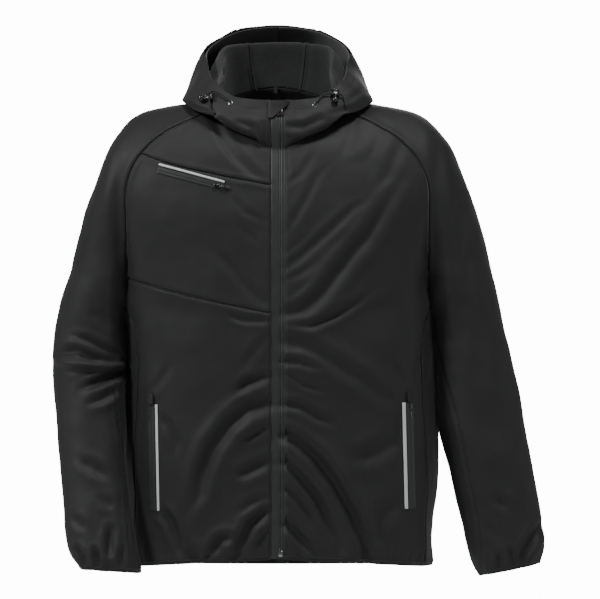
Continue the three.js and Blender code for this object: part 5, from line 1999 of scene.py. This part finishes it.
@dataclass(frozen=True)
class Studio:
    """A pale floor, a white room and soft lights, with the camera level with the jacket."""

    pixel: float = PIXEL * MM
    frame: tuple[int, int] = (600, 599)
    origin_pixel: tuple[float, float] = ORIGIN_PIXEL
    distance: float = 10.0
    sensor: float = 36.0
    seen: float = 14.0
    glow: float = 0.10

    def build(self) -> None:
        """Make the floor, the world, the lights and the camera."""
        self.floor()
        self.world()
        self.camera()
        self.softbox("key_softbox", (-1.9, -1.4, 1.5), 0.55, 49.0)
        self.softbox("fill_softbox", (1.9, -2.6, 0.4), 1.2, 9.0)
        self.softbox("top_softbox", (0.5, -0.9, 2.1), 0.55, 34.0)
        self.softbox("left_edge_softbox", (-2.4, -0.2, -0.3), 1.0, 5.0)
        self.softbox("right_edge_softbox", (2.4, -0.2, -0.3), 1.0, 5.0)
        self.softbox("back_softbox", (0.5, 2.7, 0.9), 1.4, 22.0)

    @property
    def middle(self) -> Vector:
        """The point of the jacket's plane in the middle of the frame."""
        x = (self.frame[0] / 2 - self.origin_pixel[0]) * self.pixel
        z = (self.origin_pixel[1] - self.frame[1] / 2) * self.pixel
        return Vector((x, 0.0, z))

    def camera(self) -> None:
        """A long lens, level with the middle of the jacket."""
        data = bpy.data.cameras.new("camera")
        data.sensor_width = self.sensor
        data.lens = self.sensor * self.distance / (self.frame[0] * self.pixel)
        data.clip_end = 100.0
        camera = bpy.data.objects.new("camera", data)
        camera.location = self.middle - Vector((0.0, self.distance, 0.0))
        camera.rotation_euler = (math.pi / 2, 0.0, 0.0)
        bpy.context.scene.collection.objects.link(camera)
        bpy.context.scene.camera = camera

    def floor(self) -> None:
        """A round pale floor under the jacket."""
        bm = bmesh.new()
        bmesh.ops.create_circle(bm, cap_ends=True, segments=64, radius=2.6)
        bmesh.ops.translate(bm, verts=bm.verts, vec=(0.0, 0.0, -1.0))
        paint = Paint("pale_floor", Roughness=0.8)
        tone = paint.mix(paint.noise(3.0), (0.80, 0.80, 0.80), (0.84, 0.84, 0.84))
        to_object(bm, "floor", paint.finish(tone))

    def world(self) -> None:
        """A white room that is seen brighter than it lights the cloth."""
        world = bpy.data.worlds.new("room")
        world.use_nodes = True
        tree = world.node_tree
        background = tree.nodes["Background"]
        background.inputs["Color"].default_value = (1.0, 1.0, 1.0, 1.0)
        seen = Sock(tree, tree.nodes.new("ShaderNodeLightPath").outputs["Is Camera Ray"])
        feed(tree, background.inputs["Strength"], seen * (self.seen - self.glow) + self.glow)
        bpy.context.scene.world = world

    def softbox(self, name: str, place: Sequence[float], size: float, power: float) -> None:
        """One square area light turned to the jacket's middle."""
        data = bpy.data.lights.new(name, "AREA")
        data.size = size
        data.energy = power
        light = bpy.data.objects.new(name, data)
        light.location = place
        aim = self.middle - light.location
        light.rotation_euler = aim.to_track_quat("-Z", "Y").to_euler()
        bpy.context.scene.collection.objects.link(light)


def sleeve_centre(node: str) -> Vector:
    """A point inside a sleeve, or on the body's own axis for a body panel."""
    if node.startswith("sleeve"):
        low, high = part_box(node)
        return (low + high) / 2
    return Vector((0.0, 0.0, -0.35))


def hood_centre(node: str) -> Vector:
    """A point inside the hood's opening."""
    return Vector((0.0, 0.02, 0.03))


DOUBLE_SEAMS = 4.2
# Pairs of panels whose seams are topstitched on both sides, by their places in BODY_NODES
SEWN_PAIRS = ((0, 4), (1, 4), (2, 4), (3, 4), (0, 5), (4, 5), (1, 6), (2, 6), (3, 6), (4, 6),
              (1, 2), (2, 3))


@dataclass
class Seams:
    """The topstitching along the panels' seams and open edges."""

    body: bpy.types.Object
    hood: bpy.types.Object
    front: Front
    sewing: Sewing

    def build(self) -> None:
        """Sew every seam."""
        tree = self.surface_tree(self.body)
        for a, b in SEWN_PAIRS:
            for chain in chains(self.body.data, between(a, b)):
                for side in (-1, 1):
                    self.sewing.beside(tree, chain, side * DOUBLE_SEAMS)
        for x in (-16.4, 15.2):
            low = [self.front.seat(x, z) for z in range(-684, 16, 5)]
            self.sewing.seats(low)
        neck = rim(range(5), lambda p: p.z > -0.075)
        for chain in chains(self.body.data, neck):
            self.sewing.beside(tree, chain, -4.0)
            self.sewing.beside(tree, chain, 4.0)
        cover = self.surface_tree(self.hood)
        for a, b in ((0, 1), (1, 2)):
            for chain in chains(self.hood.data, between(a, b)):
                for side in (-1, 1):
                    self.sewing.beside(cover, chain, side * 3.2)
        for chain in chains(self.hood.data, rim(range(3), lambda p: True)):
            self.sewing.beside(cover, chain, 14.0)

    def surface_tree(self, surface: bpy.types.Object) -> BVHTree:
        """The tree of one refined surface."""
        return BVHTree.FromPolygons([v.co.copy() for v in surface.data.vertices],
                                    [list(f.vertices) for f in surface.data.polygons])


def main() -> None:
    """Build the studio and the jacket, and report each piece."""
    logging.basicConfig(level=logging.INFO, format="%(name)s %(message)s")
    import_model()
    Studio().build()
    wardrobe = Wardrobe()
    detail = 3
    groups = (
        ClothGroup("body_cloth", BODY_NODES, sleeve_centre, detail,
                   FRONT_CREASES + SLEEVE_FRONT_CREASES, BACK_CREASES + SLEEVE_BACK_CREASES,
                   EASES, DRAWN_SEAMS),
        ClothGroup("hood_cloth", HOOD_NODES, hood_centre, detail, HOOD_CREASES, ()),
    )
    body, hood = [group.refined() for group in groups]
    for surface, group in zip((body, hood), groups):
        part_panels(surface, group, wardrobe)
    front = Front(((body, range(5)), (hood, range(3))))
    sewing = Sewing()
    FrontZip(front, wardrobe).build()
    for size in POCKETS:
        Pocket(size, front, wardrobe).build(sewing)
    for path in ADJUSTERS:
        Adjuster(path, front, wardrobe).build()
    Bindings(body, wardrobe).build(sewing)
    InnerNeck(wardrobe, body).build()
    Seams(body, hood, front, sewing).build()
    dress(sewing.beads.piece("topstitching", wardrobe.thread), Slot.SHELL)
    for surface in (body, hood):
        bpy.data.objects.remove(surface)


if __name__ == "__main__":
    main()
